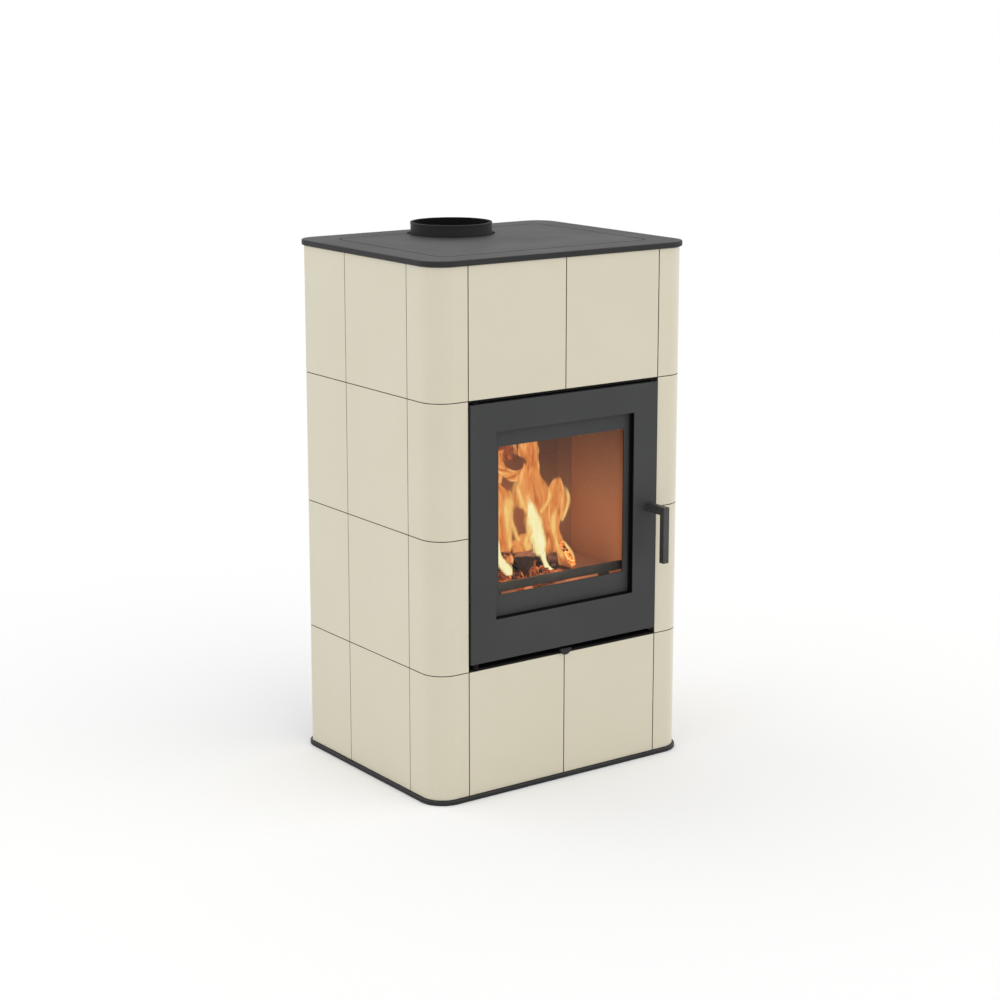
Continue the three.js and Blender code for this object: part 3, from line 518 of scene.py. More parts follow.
def facesFacing(bm, direction):
    bm.normal_update()
    direction = Vector(direction)
    return [f for f in bm.faces if f.normal.dot(direction) > 0.999]


def extrudeFace(bm, face, vector):
    made = bmesh.ops.extrude_discrete_faces(bm, faces=[face])["faces"][0]
    bmesh.ops.translate(bm, vec=vector, verts=made.verts)
    return made


def meshObject(name, bm, materials=()):
    # the bmesh is used up
    mesh = bpy.data.meshes.new(name)
    bm.to_mesh(mesh)
    bm.free()
    for material in materials:
        mesh.materials.append(material)
    return addObject(name, mesh)


def finishPiece(name, bm, materials, body, replaced=(), smooth=True):
    piece = meshObject(name, bm, materials)
    if smooth:
        piece.data.shade_smooth()
        weighted = piece.modifiers.new("even_normals", "WEIGHTED_NORMAL")
        weighted.keep_sharp = False
        weighted.weight = 60
    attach(piece, body)
    if replaced:
        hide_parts(*replaced)
    return piece


def cutWith(bm, cutters):
    # takes the cutters' forms out of the bmesh with boolean modifiers
    target = meshObject("blank", bm)
    tools = [meshObject("cutter", cutter) for cutter in cutters]
    for tool in tools:
        modifier = target.modifiers.new("cut", "BOOLEAN")
        modifier.operation = "DIFFERENCE"
        modifier.solver = "EXACT"
        modifier.object = tool
    bpy.context.view_layer.update()
    graph = bpy.context.evaluated_depsgraph_get()
    result = bmesh.new()
    result.from_mesh(target.evaluated_get(graph).to_mesh())
    for made in [target, *tools]:
        spare = made.data
        bpy.data.objects.remove(made)
        bpy.data.meshes.remove(spare)
    return result


def dress(material, *names):
    # a CAD node keeps its shape and gets the finish
    for name in names:
        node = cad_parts[name]
        node.data.materials.clear()
        node.data.materials.append(material)


# tiles

tileMaterials = [glaze, bisque, joint, jointPaintedLight]
tileForm = {
    "depth": 22 * mm,
    "edge": 1.3 * mm,
    "edgeSteps": 3,
    "jointDepth": 9 * mm,
    "rib": 10 * mm,
    "pocket": 10 * mm,
    "draft": 1.5 * mm,
    "bend": 42 * mm,
    "wall": 12 * mm,
    "bendSteps": 20,
}


def tileFinish(facing, depth, sideWallJoint):
    # 0 is glaze, 1 bare clay, 2 the dark joint and 3 a paler copy of it, painted light, for the upright
    # joints of the side walls
    if depth > tileForm["jointDepth"]:
        return 1
    if facing > 0.8:
        return 0
    return 3 if sideWallJoint else 2


def flatTileMesh(width, height, onSideWall):
    # face to the front at y 0, foot at z 0, hollow at the back
    form = tileForm
    bm = boxMesh((-width / 2, 0, 0), (width / 2, form["depth"], height))
    roundEdges(bm, bm.edges[:], form["edge"], form["edgeSteps"])
    inset = form["rib"] / 2
    bmesh.ops.inset_region(bm, faces=facesFacing(bm, (0, 1, 0)), thickness=inset - form["edge"])
    middle = [f for f in facesFacing(bm, (0, 1, 0)) if f.calc_area() > 0.5 * width * height]
    halves = middle[0].edges[:] + middle[0].verts[:] + middle
    bmesh.ops.bisect_plane(bm, geom=halves, plane_co=(0, 0, height / 2), plane_no=(0, 0, 1))
    fields = [f for f in facesFacing(bm, (0, 1, 0)) if f.calc_area() > 0.25 * width * height]
    bmesh.ops.inset_individual(bm, faces=fields, thickness=inset)
    bmesh.ops.inset_individual(bm, faces=fields, thickness=form["draft"], depth=-form["pocket"])
    bm.normal_update()
    for face in bm.faces:
        sideWallJoint = onSideWall and abs(face.normal.x) > abs(face.normal.z)
        face.material_index = tileFinish(-face.normal.y, face.calc_center_median().y, sideWallJoint)
    return bm


def placeFlatTile(name, side):
    # side is 0 for the front, -1 for the left and 1 for the right
    low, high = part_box(name)
    width = high.x - low.x if side == 0 else high.y - low.y
    bm = flatTileMesh(width, high.z - low.z, side != 0)
    turn(bm, Matrix.Rotation(side * math.pi / 2, 3, "Z"))
    face = (low.x, high.x)[side > 0] if side else (low.x + high.x) / 2
    depth = (low.y + high.y) / 2 if side else low.y
    move(bm, (face, depth, low.z))
    finishPiece(name + "_glazed", bm, tileMaterials, "stove", [name])


def placeCornerTile(name, side):
    # a bend between two arms, each with a rib at its end
    low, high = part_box(name)
    form = tileForm
    bend, wall, rib = form["bend"], form["wall"], form["rib"]
    longArm = (Vector((0, 1, 0)), high.y - low.y)
    shortArm = (Vector((1, 0, 0)), high.x - low.x)
    bm = boxMesh((0, 0, 0), (wall, 1 * mm, high.z - low.z))
    start = facesFacing(bm, (0, -1, 0))
    bmesh.ops.delete(bm, geom=[f for f in bm.faces if f not in start], context="FACES")
    bmesh.ops.delete(bm, geom=[v for v in bm.verts if not v.link_faces], context="VERTS")
    move(bm, (0, bend, 0))
    bmesh.ops.spin(
        bm,
        geom=bm.faces[:] + bm.edges[:] + bm.verts[:],
        cent=(bend, bend, 0),
        axis=(0, 0, 1),
        angle=math.pi / 2,
        steps=form["bendSteps"],
        use_merge=False,
        use_duplicate=False,
    )
    faceOutwards(bm)
    for along, total in (longArm, shortArm):
        ends = [f for f in bm.faces if abs(f.normal.dot(along)) > 0.99]
        arm = max(ends, key=lambda f: f.calc_center_median().dot(along))
        arm = extrudeFace(bm, arm, along * (total - bend - rib))
        extrudeFace(bm, arm, along * rib)
    faceOutwards(bm)
    margin = 0.1 * mm
    for (along, total), (inwards, other) in ((longArm, shortArm), (shortArm, longArm)):
        for face in facesFacing(bm, inwards):
            centre = face.calc_center_median()
            if centre.dot(along) > total - rib + margin and abs(centre.dot(inwards) - wall) < margin:
                extrudeFace(bm, face, inwards * (form["depth"] - wall))
                break
    faceOutwards(bm)
    roundEdges(bm, sharpEdges(bm, 50), form["edge"], form["edgeSteps"])
    bm.normal_update()
    for face in bm.faces:
        centre = face.calc_center_median()
        if centre.x < bend and centre.y < bend:
            radius = Vector((centre.x - bend, centre.y - bend, 0))
            outward, depth = radius.normalized(), bend - radius.length
        elif centre.x < centre.y:
            outward, depth = Vector((-1, 0, 0)), centre.x
        else:
            outward, depth = Vector((0, -1, 0)), centre.y
        sideWallJoint = outward.x < -0.9 and face.normal.y > abs(face.normal.z)
        face.material_index = tileFinish(face.normal.dot(outward), depth, sideWallJoint)
    if side > 0:
        bmesh.ops.scale(bm, vec=(-1, 1, 1), verts=bm.verts)
        bmesh.ops.reverse_faces(bm, faces=bm.faces[:])
    move(bm, (low.x if side < 0 else high.x, low.y, low.z))
    finishPiece(name + "_glazed", bm, tileMaterials, "stove", [name])


for sideName, side in (("left", -1), ("right", 1)):
    for row in (1, 2, 3, 4):
        placeFlatTile(f"tile_{sideName}_front_{row}", side)
        placeFlatTile(f"tile_{sideName}_rear_{row}", side)
        placeCornerTile(f"corner_tile_{sideName}_{row}", side)
    placeFlatTile(f"front_tile_bottom_{sideName}", 0)
    placeFlatTile(f"front_tile_top_{sideName}", 0)
print("tiles made")

# base plate and top plate

plateForm = {
    "corner": 46.5 * mm,
    "rearCorner": 41 * mm,
    "cornerSteps": 18,
    "rim": 2 * mm,
    "rimSteps": 3,
    "hole": 81 * mm,
    "holeReach": 60 * mm,
    "grooveInset": 55 * mm,
    "grooveWidth": 3 * mm,
    "grooveDepth": 1.8 * mm,
    "grooveCorner": 22 * mm,
    "grooveSteps": 8,
    "darkBelow": 1.4 * mm,
    "steep": 0.35,
}


def roundedPlate(low, high, frontCorner, rearCorner, steps):
    bm = boxMesh(low, high)
    for corner, end in ((frontCorner, low.y), (rearCorner, high.y)):
        upright = [e for e in bm.edges if abs(e.verts[0].co.z - e.verts[1].co.z) > tiny]
        roundEdges(bm, [e for e in upright if abs(e.verts[0].co.y - end) < tiny], corner, steps)
    return bm


def castPlate(low, high):
    bm = roundedPlate(low, high, plateForm["corner"], plateForm["rearCorner"], plateForm["cornerSteps"])
    roundEdges(bm, sharpEdges(bm, 60), plateForm["rim"], plateForm["rimSteps"])
    bm.normal_update()
    return bm


basePlate = castPlate(*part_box("base_plate"))
# painted shade: the base plate's sides take the darker cast iron
for face in basePlate.faces:
    face.material_index = 1 if abs(face.normal.z) < plateForm["steep"] else 0
finishPiece("base_plate_cast", basePlate, [castIron, castIronShade], "stove", ["base_plate"])

low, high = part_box("top_plate")
collarLow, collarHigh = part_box("flue_collar")
flueCentre = (collarLow + collarHigh) / 2
hole = bmesh.new()
bmesh.ops.create_cone(
    hole,
    cap_ends=True,
    segments=96,
    radius1=plateForm["hole"],
    radius2=plateForm["hole"],
    depth=plateForm["holeReach"],
    matrix=Matrix.Translation((flueCentre.x, flueCentre.y, high.z)),
)


def groovePlate(shift, top, bottom):
    # a rounded plate whose rim follows the groove, moved in by shift
    inset = plateForm["grooveInset"] + shift
    reach = Vector((inset, inset, 0))
    corner = plateForm["grooveCorner"] - shift
    start, end = Vector((low.x, low.y, bottom)) + reach, Vector((high.x, high.y, top)) - reach
    return roundedPlate(start, end, corner, corner, plateForm["grooveSteps"])


grooveHalf = plateForm["grooveWidth"] / 2
grooveRing = cutWith(
    groovePlate(-grooveHalf, high.z + 2 * mm, high.z - plateForm["grooveDepth"]),
    [groovePlate(grooveHalf, high.z + 4 * mm, high.z - 4 * mm)],
)
topPlate = cutWith(castPlate(low, high), [hole, grooveRing])
topPlate.normal_update()
for face in topPlate.faces:
    # painted shade: the plate's sides, the hole and the groove's sunk faces take the darker cast iron
    steep = abs(face.normal.z) < plateForm["steep"]
    sunk = low.z + plateForm["rim"] < face.calc_center_median().z < high.z - plateForm["darkBelow"]
    face.material_index = 1 if steep or sunk else 0
finishPiece("top_plate_cast", topPlate, [castIron, castIronShade], "stove", ["top_plate"])

# flue collar

collarForm = {
    "outer": 75 * mm,
    "inner": 69 * mm,
    "flange": 91 * mm,
    "flangeThickness": 4 * mm,
    "rimBand": 5 * mm,
    "bandProud": 0.5 * mm,
    "bandSlope": 0.8 * mm,
    "edge": 0.7 * mm,
    "edgeSteps": 2,
    "seat": 1.2 * mm,
    "steps": 96,
}


def spinProfile(points, centre, steps):
    # turns a closed outline of (radius, height) pairs into a ring
    bm = bmesh.new()
    verts = [bm.verts.new((centre.x + r, centre.y, z)) for r, z in points]
    edges = [bm.edges.new((verts[i], verts[(i + 1) % len(verts)])) for i in range(len(verts))]
    bmesh.ops.spin(
        bm,
        geom=verts + edges,
        cent=centre,
        axis=(0, 0, 1),
        angle=2 * math.pi,
        steps=steps,
        use_merge=True,
        use_duplicate=False,
    )
    bmesh.ops.remove_doubles(bm, verts=bm.verts[:], dist=tiny)
    faceOutwards(bm)
    return bm


form = collarForm
foot, head = collarLow.z, collarHigh.z
flangeTop, bandFoot = foot + form["flangeThickness"], head - form["rimBand"]
collarOutline = [
    (form["inner"], foot),
    (form["flange"], foot),
    (form["flange"], flangeTop),
    (form["outer"] - form["bandProud"], flangeTop),
    (form["outer"] - form["bandProud"], bandFoot),
    (form["outer"], bandFoot + form["bandSlope"]),
    (form["outer"], head),
    (form["inner"], head),
]
collar = spinProfile(collarOutline, Vector((flueCentre.x, flueCentre.y, 0)), form["steps"])
roundEdges(collar, sharpEdges(collar, 50), form["edge"], form["edgeSteps"])
for face in collar.faces:
    # the bore and the rim's top are near black: soot and painted shade in the bore, painted shade on the rim
    centre = face.calc_center_median()
    reach = Vector((centre.x - flueCentre.x, centre.y - flueCentre.y)).length
    face.material_index = 1 if reach < form["outer"] - form["seat"] and face.normal.z > -0.5 else 0
finishPiece("flue_collar_cast", collar, [collarPaint, blackAndShade], "stove", ["flue_collar"])
print("cast pieces made")

# door

doorForm = {
    "edge": 0.9 * mm,
    "sideStile": 53 * mm,
    "topRail": 51 * mm,
    "bottomRail": 73.3 * mm,
    "lip": 4 * mm,
    "rebate": 14 * mm,
    "cutPast": 2 * mm,
}


def frameMesh(low, high, windowLow, windowHigh):
    # a flat frame in X and Z with one window
    bm = boxMesh(low, high)
    for place, normal in (
        ((windowLow[0], 0, 0), (1, 0, 0)),
        ((windowHigh[0], 0, 0), (1, 0, 0)),
        ((0, 0, windowLow[1]), (0, 0, 1)),
        ((0, 0, windowHigh[1]), (0, 0, 1)),
    ):
        bmesh.ops.bisect_plane(bm, geom=everythingIn(bm), plane_co=place, plane_no=normal)
    inside = []
    for face in bm.faces:
        centre = face.calc_center_median()
        across = windowLow[0] < centre.x < windowHigh[0]
        if across and windowLow[1] < centre.z < windowHigh[1]:
            inside.append(face)
    bmesh.ops.delete(bm, geom=inside, context="FACES")
    bmesh.ops.bridge_loops(bm, edges=[e for e in bm.edges if e.is_boundary])
    dissolveFlat(bm)
    faceOutwards(bm)
    return bm


low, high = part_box("door_leaf")
leafWindow = (
    (low.x + doorForm["sideStile"], low.z + doorForm["bottomRail"]),
    (high.x - doorForm["sideStile"], high.z - doorForm["topRail"]),
)
step = Vector((doorForm["rebate"], 0, doorForm["rebate"]))
stepLow = Vector((leafWindow[0][0], low.y + doorForm["lip"], leafWindow[0][1])) - step
stepHigh = Vector((leafWindow[1][0], high.y + doorForm["cutPast"], leafWindow[1][1])) + step
leaf = cutWith(frameMesh(low, high, *leafWindow), [boxMesh(stepLow, stepHigh)])
roundEdges(leaf, sharpEdges(leaf), doorForm["edge"])
for face in leaf.faces:
    # painted shade: the window's edge and the step behind its lip are near black
    centre = face.calc_center_median()
    across = stepLow.x - 1 * mm < centre.x < stepHigh.x + 1 * mm
    upward = stepLow.z - 1 * mm < centre.z < stepHigh.z + 1 * mm
    face.material_index = 1 if across and upward and face.normal.y > -0.5 else 0
finishPiece("door_leaf_cast", leaf, [doorPaint, blackAndShade], "door", ["door_leaf"])

# painted shadow: a flat black strip between the leaf and the inner frame, in the gap round the window

shadeStripForm = {"inside": 1.5 * mm, "outside": 12 * mm, "thickness": 0.8 * mm, "edge": 0.3 * mm}

inside = Vector((shadeStripForm["inside"], 0, shadeStripForm["inside"]))
outside = Vector((shadeStripForm["outside"], 0, shadeStripForm["outside"]))
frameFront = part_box("inner_frame")[0].y
windowLow = Vector((leafWindow[0][0], frameFront, leafWindow[0][1]))
windowHigh = Vector((leafWindow[1][0], frameFront, leafWindow[1][1]))
shadeStripFront = Vector((0, -shadeStripForm["thickness"], 0))
holeLow, holeHigh = windowLow + inside, windowHigh - inside
shadeStrip = frameMesh(
    windowLow - outside + shadeStripFront,
    windowHigh + outside,
    (holeLow.x, holeLow.z),
    (holeHigh.x, holeHigh.z),
)
roundEdges(shadeStrip, sharpEdges(shadeStrip), shadeStripForm["edge"], 2)
finishPiece("window_shade_strip", shadeStrip, [blackAndShade], "door")

# handle

handleForm = {"edge": 1.3 * mm, "grip": 12 * mm, "arm": 15 * mm}

low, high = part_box("handle_lever")
handle = boxMesh((low.x, low.y, high.z - handleForm["arm"]), high)
gripBack = (0, low.y + handleForm["grip"], 0)
bmesh.ops.bisect_plane(handle, geom=everythingIn(handle), plane_co=gripBack, plane_no=(0, 1, 0))
under = min(facesFacing(handle, (0, 0, -1)), key=lambda f: f.calc_center_median().y)
extrudeFace(handle, under, (0, 0, low.z - under.calc_center_median().z))
dissolveFlat(handle)
roundEdges(handle, sharpEdges(handle), handleForm["edge"])
finishPiece("handle_lever_cast", handle, [handlePaint], "handle", ["handle_lever"])

# screws; all but the inset, the rows and the sunk foot are shares of the head's radius

screwForm = {"height": 0.55, "crown": 0.82, "socket": 0.38, "draft": 0.03, "sunk": 0.2 * mm, "sides": 24}
panelScrews = {"radius": 4.2 * mm, "inset": 12 * mm, "rows": 5}
clampScrews = {"radius": 2.8 * mm, "inset": 4.6 * mm, "rows": 3}


def addScrew(bm, place, radius):
    # a low round head with a socket, its foot just inside the sheet that it holds
    height = radius * screwForm["height"]
    seat = Matrix.Translation(place + Vector((0, height / 2 - screwForm["sunk"], 0)))
    made = bmesh.ops.create_cone(
        bm,
        cap_ends=True,
        segments=screwForm["sides"],
        radius1=radius,
        radius2=radius * screwForm["crown"],
        depth=height,
        matrix=seat @ Matrix.Rotation(-math.pi / 2, 4, "X"),
    )["verts"]
    faces = {face for vert in made for face in vert.link_faces}
    head = max(faces, key=lambda f: f.calc_center_median().y)
    bmesh.ops.inset_individual(bm, faces=[head], thickness=radius * screwForm["socket"])
    bmesh.ops.inset_individual(bm, faces=[head], thickness=radius * screwForm["draft"], depth=-height / 2)


def placeScrews(name, body, holder, form):
    # screws round the edge of a sheet, on its rear face
    low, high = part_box(holder)
    bm = bmesh.new()
    left, right = low.x + form["inset"], high.x - form["inset"]
    bottom, top = low.z + form["inset"], high.z - form["inset"]
    for row in range(form["rows"]):
        z = bottom + (top - bottom) * row / (form["rows"] - 1)
        for x in (left, right):
            addScrew(bm, Vector((x, high.y, z)), form["radius"])
    for z in (bottom, top):
        addScrew(bm, Vector(((left + right) / 2, high.y, z)), form["radius"])
    finishPiece(name, bm, [steel], body, smooth=False)


placeScrews("rear_panel_screws", "stove", "rear_panel", panelScrews)
placeScrews("glass_retainer_screws", "door", "glass_retainer", clampScrews)
print("door made")

# seal of twisted glass rope

sealForm = {
    "strand": 3.3 * mm,
    "twist": 2.9 * mm,
    "strands": 4,
    "pitch": 36 * mm,
    "corner": 19 * mm,
    "half": 6.5 * mm,
    "stepsPerTurn": 10,
}


def roundedPath(low, high, corner, spacing):
    # points and outward directions round a rounded rectangle in X and Z
    points = []
    corners = [
        (high.x - corner, high.z - corner, 0),
        (low.x + corner, high.z - corner, 90),
        (low.x + corner, low.z + corner, 180),
        (high.x - corner, low.z + corner, 270),
    ]
    for index, (x, z, start) in enumerate(corners):
        steps = max(3, round(corner * math.pi / 2 / spacing))
        for step in range(steps + 1):
            angle = math.radians(start + 90 * step / steps)
            out = Vector((math.cos(angle), 0, math.sin(angle)))
            points.append((Vector((x, 0, z)) + out * corner, out))
        nextX, nextZ, nextStart = corners[(index + 1) % 4]
        angle = math.radians(nextStart)
        out = Vector((math.cos(angle), 0, math.sin(angle)))
        begin = points[-1][0]
        finish = Vector((nextX, 0, nextZ)) + out * corner
        steps = max(2, round((finish - begin).length / spacing))
        for step in range(1, steps):
            points.append((begin.lerp(finish, step / steps), out))
    return points


def curveMesh(strands, radius):
    # closed round strands through the given points, as one mesh
    curve = bpy.data.curves.new("strands", "CURVE")
    curve.dimensions = "3D"
    curve.bevel_depth = radius
    curve.bevel_resolution = 2
    for points in strands:
        spline = curve.splines.new("POLY")
        spline.points.add(len(points) - 1)
        for target, point in zip(spline.points, points):
            target.co = (*point, 1)
        spline.use_cyclic_u = True
    holder = addObject("strands", curve)
    graph = bpy.context.evaluated_depsgraph_get()
    bm = bmesh.new()
    bm.from_mesh(holder.evaluated_get(graph).to_mesh())
    bpy.data.objects.remove(holder)
    bpy.data.curves.remove(curve)
    return bm


def sealMesh(form):
    low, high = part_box("door_seal")
    middle = Vector((0, (low.y + high.y) / 2, 0))
    half = Vector((form["half"], 0, form["half"]))
    path = roundedPath(low + half, high - half, form["corner"], form["pitch"] / form["stepsPerTurn"])
    turns = round(len(path) / form["stepsPerTurn"])
    strands = []
    for strand in range(form["strands"]):
        points = []
        for index, (point, out) in enumerate(path):
            angle = 2 * math.pi * (turns * index / len(path) + strand / form["strands"])
            place = point + middle + out * (form["twist"] * math.cos(angle))
            points.append(place + Vector((0, form["twist"] * math.sin(angle), 0)))
        strands.append(points)
    return curveMesh(strands, form["strand"])


finishPiece("door_seal_rope", sealMesh(sealForm), [rope], "door", ["door_seal"])
print("seal made")

# fire: logs, embers and flames

charLook = {
    "char": (0.062, 0.037, 0.026),
    "ash": (0.30, 0.28, 0.26),
    "ashFrom": (0.56, 0.72),
    "ashShare": 0.55,
    "grain": (240.0, 45.0, 0.5),
    "crackScale": 85.0,
    "crackWidth": 0.09,
    "crackShare": 0.5,
    "patchFrom": (0.45, 0.66),
    "patchShare": 0.75,
    "tones": [
        (0.0, (0.0, 0.0, 0.0)),
        (0.35, (0.45, 0.07, 0.01)),
        (0.7, (0.95, 0.30, 0.06)),
        (1.0, (1.0, 0.62, 0.24)),
    ],
    "bump": (0.8, 0.003),
}


def makeChar(name, glowFrom, glowTo, strength):
    # charred wood: deep cracks that glow low down, and a little ash on top
    look = charLook
    material, tree, surface, place = startMaterial(name)
    grain = grainNode(tree, place, *look["grain"])
    cells = {"Vector": place, "Scale": look["crackScale"]}
    cracks = nodeOf(tree, "ShaderNodeTexVoronoi", cells, feature="DISTANCE_TO_EDGE").outputs["Distance"]
    ashMask = rangeNode(tree, grain["Height"], look["ashFrom"], (0.0, look["ashShare"]))
    lowDown = rangeNode(tree, partsOf(tree, place)["Z"], (glowTo, glowFrom), smooth=True)
    split = rangeNode(tree, cracks, (look["crackWidth"], 0.0), smooth=True)
    patch = rangeNode(tree, grain["Mottle"], look["patchFrom"], smooth=True)
    glowing = mathNode(tree, "MULTIPLY", split, look["crackShare"])
    glowing = mathNode(tree, "MULTIPLY_ADD", patch, look["patchShare"], glowing)
    glowing = mathNode(tree, "MULTIPLY", glowing, lowDown, clamp=True)
    finish = {
        "Base Color": mixColour(tree, ashMask, look["char"], look["ash"]),
        "Roughness": 0.85,
        "Emission Color": rampNode(tree, glowing, look["tones"]),
        "Emission Strength": strength,
    }
    fill(tree, surface, finish)
    height = mathNode(tree, "MULTIPLY", cracks, 2.0, clamp=True)
    bumpFrom(tree, surface, mathNode(tree, "ADD", height, grain["Height"]), *look["bump"])
    material.cycles.emission_sampling = "NONE"
    return material


charredWood = makeChar("charred_wood", 0.338, 0.362, 0.4)
smoulderingWood = makeChar("smouldering_wood", 0.40, 0.47, 0.8)
glowingWood = makeChar("glowing_wood", 0.40, 0.47, 1.7)
emberCoal = makeChar("ember_coal", 0.345, 0.375, 0.95)


def wander(point, scale, seed):
    return noise.noise(point * scale + Vector((seed, seed * 1.7, seed * 0.3)))


barkForm = {
    "sides": 24,
    "taper": 0.94,
    "rings": 3,
    "ring": 0.27,
    "cuts": 28,
    "coarse": 0.12,
    "fine": 0.08,
    "ridge": 0.03,
    "ridges": 9,
    "ends": 6 * mm,
}


def logMesh(log, seed):
    # a split log: a rough prism with softened corners, its bark and its ends uneven
    start, end = Vector(log["from"]), Vector(log["to"])
    length = (end - start).length
    radius = log["radius"]
    bm = bmesh.new()
    ends = {"radius1": radius, "radius2": radius * barkForm["taper"]}
    bmesh.ops.create_cone(bm, cap_ends=True, segments=barkForm["sides"], depth=length, **ends)
    caps = [f for f in bm.faces if abs(f.normal.z) > 0.9]
    for ring in range(barkForm["rings"]):
        bmesh.ops.inset_region(bm, faces=caps, thickness=radius * barkForm["ring"])
    longEdges = [e for e in bm.edges if abs(e.verts[0].co.z - e.verts[1].co.z) > length * 0.9]
    bmesh.ops.subdivide_edges(bm, edges=longEdges, cuts=barkForm["cuts"], use_grid_fill=True)
    sector = 2 * math.pi / log["corners"]
    for vert in bm.verts:
        out = Vector((vert.co.x, vert.co.y, 0))
        along = vert.co.z / length
        if out.length > tiny:
            angle = math.atan2(out.y, out.x)
            local = (angle - math.radians(log["corner"])) % sector - sector / 2
            flat = math.cos(sector / 2) / math.cos(local)
            split = 1 - log["sharp"] * (1 - flat)
            rough = 1 + barkForm["coarse"] * wander(vert.co, 55, seed)
            rough += barkForm["fine"] * wander(vert.co, 150, seed)
            wave = angle * barkForm["ridges"] + 3 * wander(Vector((along, 0, 0)), 3, seed)
            ridge = 1 + barkForm["ridge"] * math.sin(wave)
            scaled = out * split * rough * ridge
            vert.co.x, vert.co.y = scaled.x, scaled.y
        if abs(along) > 0.45:
            vert.co.z += math.copysign(barkForm["ends"], along) * wander(vert.co, 90, seed + 4)
    turn(bm, (end - start).to_track_quat("Z", "Y").to_matrix())
    move(bm, (start + end) / 2)
    faceOutwards(bm)
    return bm


# each log runs between two points in metres; its section has so many corners, one of them at
# "corner" degrees
logForms = [
    {
        "name": "log_end", "wood": charredWood,
        "from": (-0.021, -0.103, 0.378), "to": (0.049, -0.006, 0.376),
        "radius": 24 * mm, "corners": 3, "corner": -90, "sharp": 0.95,
    },
    {
        "name": "log_block", "wood": charredWood,
        "from": (0.047, -0.097, 0.370), "to": (0.090, -0.035, 0.370),
        "radius": 11.5 * mm, "corners": 4, "corner": 45, "sharp": 0.7,
    },
    {
        "name": "log_left", "wood": smoulderingWood,
        "from": (-0.150, -0.092, 0.390), "to": (-0.056, -0.103, 0.388),
        "radius": 21 * mm, "corners": 4, "corner": 30, "sharp": 0.5,
    },
    {
        "name": "log_back", "wood": charredWood,
        "from": (-0.150, -0.030, 0.370), "to": (0.095, -0.012, 0.368),
        "radius": 20 * mm, "corners": 5, "corner": 10, "sharp": 0.5,
    },
    {
        "name": "log_right", "wood": glowingWood,
        "from": (0.105, -0.083, 0.353), "to": (0.077, -0.080, 0.399),
        "radius": 6 * mm, "corners": 4, "corner": 20, "sharp": 0.5,
    },
]
for seed, log in enumerate(logForms):
    finishPiece(log["name"], logMesh(log, 3.1 * seed + 1.3), [log["wood"]], "stove")

emberForm = {
    "count": 90,
    "low": 4 * mm,
    "high": 9 * mm,
    "spreadX": 0.095,
    "spreadY": 0.05,
    "x": -0.035,
    "y": -0.1,
    "rough": 0.35,
    "flat": 0.75,
    "pile": 6 * mm,
}


def emberMesh(form):
    # a bed of small coals on the hearth and the grate
    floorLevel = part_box("hearth_slab")[1].z
    draws = random.Random(4)
    bm = bmesh.new()
    for index in range(form["count"]):
        size = draws.uniform(form["low"], form["high"])
        reach = draws.random() ** 0.6
        angle = draws.uniform(0, 2 * math.pi)
        x = form["x"] + form["spreadX"] * reach * math.cos(angle)
        y = form["y"] + form["spreadY"] * reach * math.sin(angle)
        made = bmesh.ops.create_icosphere(bm, subdivisions=2, radius=size)["verts"]
        for vert in made:
            vert.co *= 1 + form["rough"] * wander(vert.co, 130, index * 2.3)
            vert.co.z *= form["flat"]
        spin = draws.uniform(0, 6)
        axis = Vector((draws.random(), draws.random(), 0.4)).normalized()
        bmesh.ops.rotate(bm, cent=(0, 0, 0), matrix=Matrix.Rotation(spin, 3, axis), verts=made)
        lowest = min(vert.co.z for vert in made)
        pile = form["pile"] * (1 - reach) * draws.random()
        bmesh.ops.translate(bm, vec=(x, y, floorLevel - lowest + pile), verts=made)
    return bm


finishPiece("ember_bed", emberMesh(emberForm), [emberCoal], "stove")

# spill is how far a sheet runs on past its stops' widths, to fade out there
flameLooks = {
    "body": {
        "spill": 1.2, "cover": 0.96, "soft": 0.34, "ragged": 0.4, "tipFrom": 0.9,
        "base": 0.36, "rim": 0.24, "streak": 0.76,
        "tones": [
            (0.0, (0.36, 0.085, 0.025)),
            (0.35, (0.72, 0.225, 0.055)),
            (0.7, (0.87, 0.36, 0.10)),
            (1.0, (0.97, 0.62, 0.21)),
        ],
    },
    "dim": {
        "spill": 1.3, "cover": 0.85, "soft": 0.5, "ragged": 0.45, "tipFrom": 0.8,
        "base": 0.36, "rim": 0.1, "streak": 0.8,
        "tones": [
            (0.0, (0.13, 0.03, 0.015)),
            (0.4, (0.34, 0.08, 0.03)),
            (0.8, (0.70, 0.22, 0.06)),
            (1.0, (0.86, 0.36, 0.11)),
        ],
    },
    "streak": {
        "spill": 1.9, "cover": 0.88, "soft": 0.85, "ragged": 0.25, "tipFrom": 0.72,
        "base": 0.52, "rim": -0.3, "streak": 0.5,
        "tones": [
            (0.0, (0.80, 0.28, 0.07)),
            (0.4, (0.93, 0.52, 0.15)),
            (0.75, (0.98, 0.76, 0.30)),
            (1.0, (1.0, 0.90, 0.50)),
        ],
    },
    "core": {
        "spill": 1.35, "cover": 0.98, "soft": 0.55, "ragged": 0.3, "tipFrom": 0.8,
        "base": 0.95, "rim": -0.5, "streak": 0.4,
        "tones": [
            (0.0, (0.90, 0.42, 0.11)),
            (0.35, (0.98, 0.68, 0.24)),
            (0.65, (1.0, 0.90, 0.42)),
            (1.0, (1.0, 0.98, 0.64)),
        ],
    },
}
flameFlow = {
    "across": 1.5,
    "upwards": 1.2,
    "drift": (26.0, 22.0, 12.0),
    "noise": {"Scale": 1.6, "Detail": 1.6, "Distortion": 1.1},
    "foot": 0.08,
    "contrast": (2.2, -0.6),
}


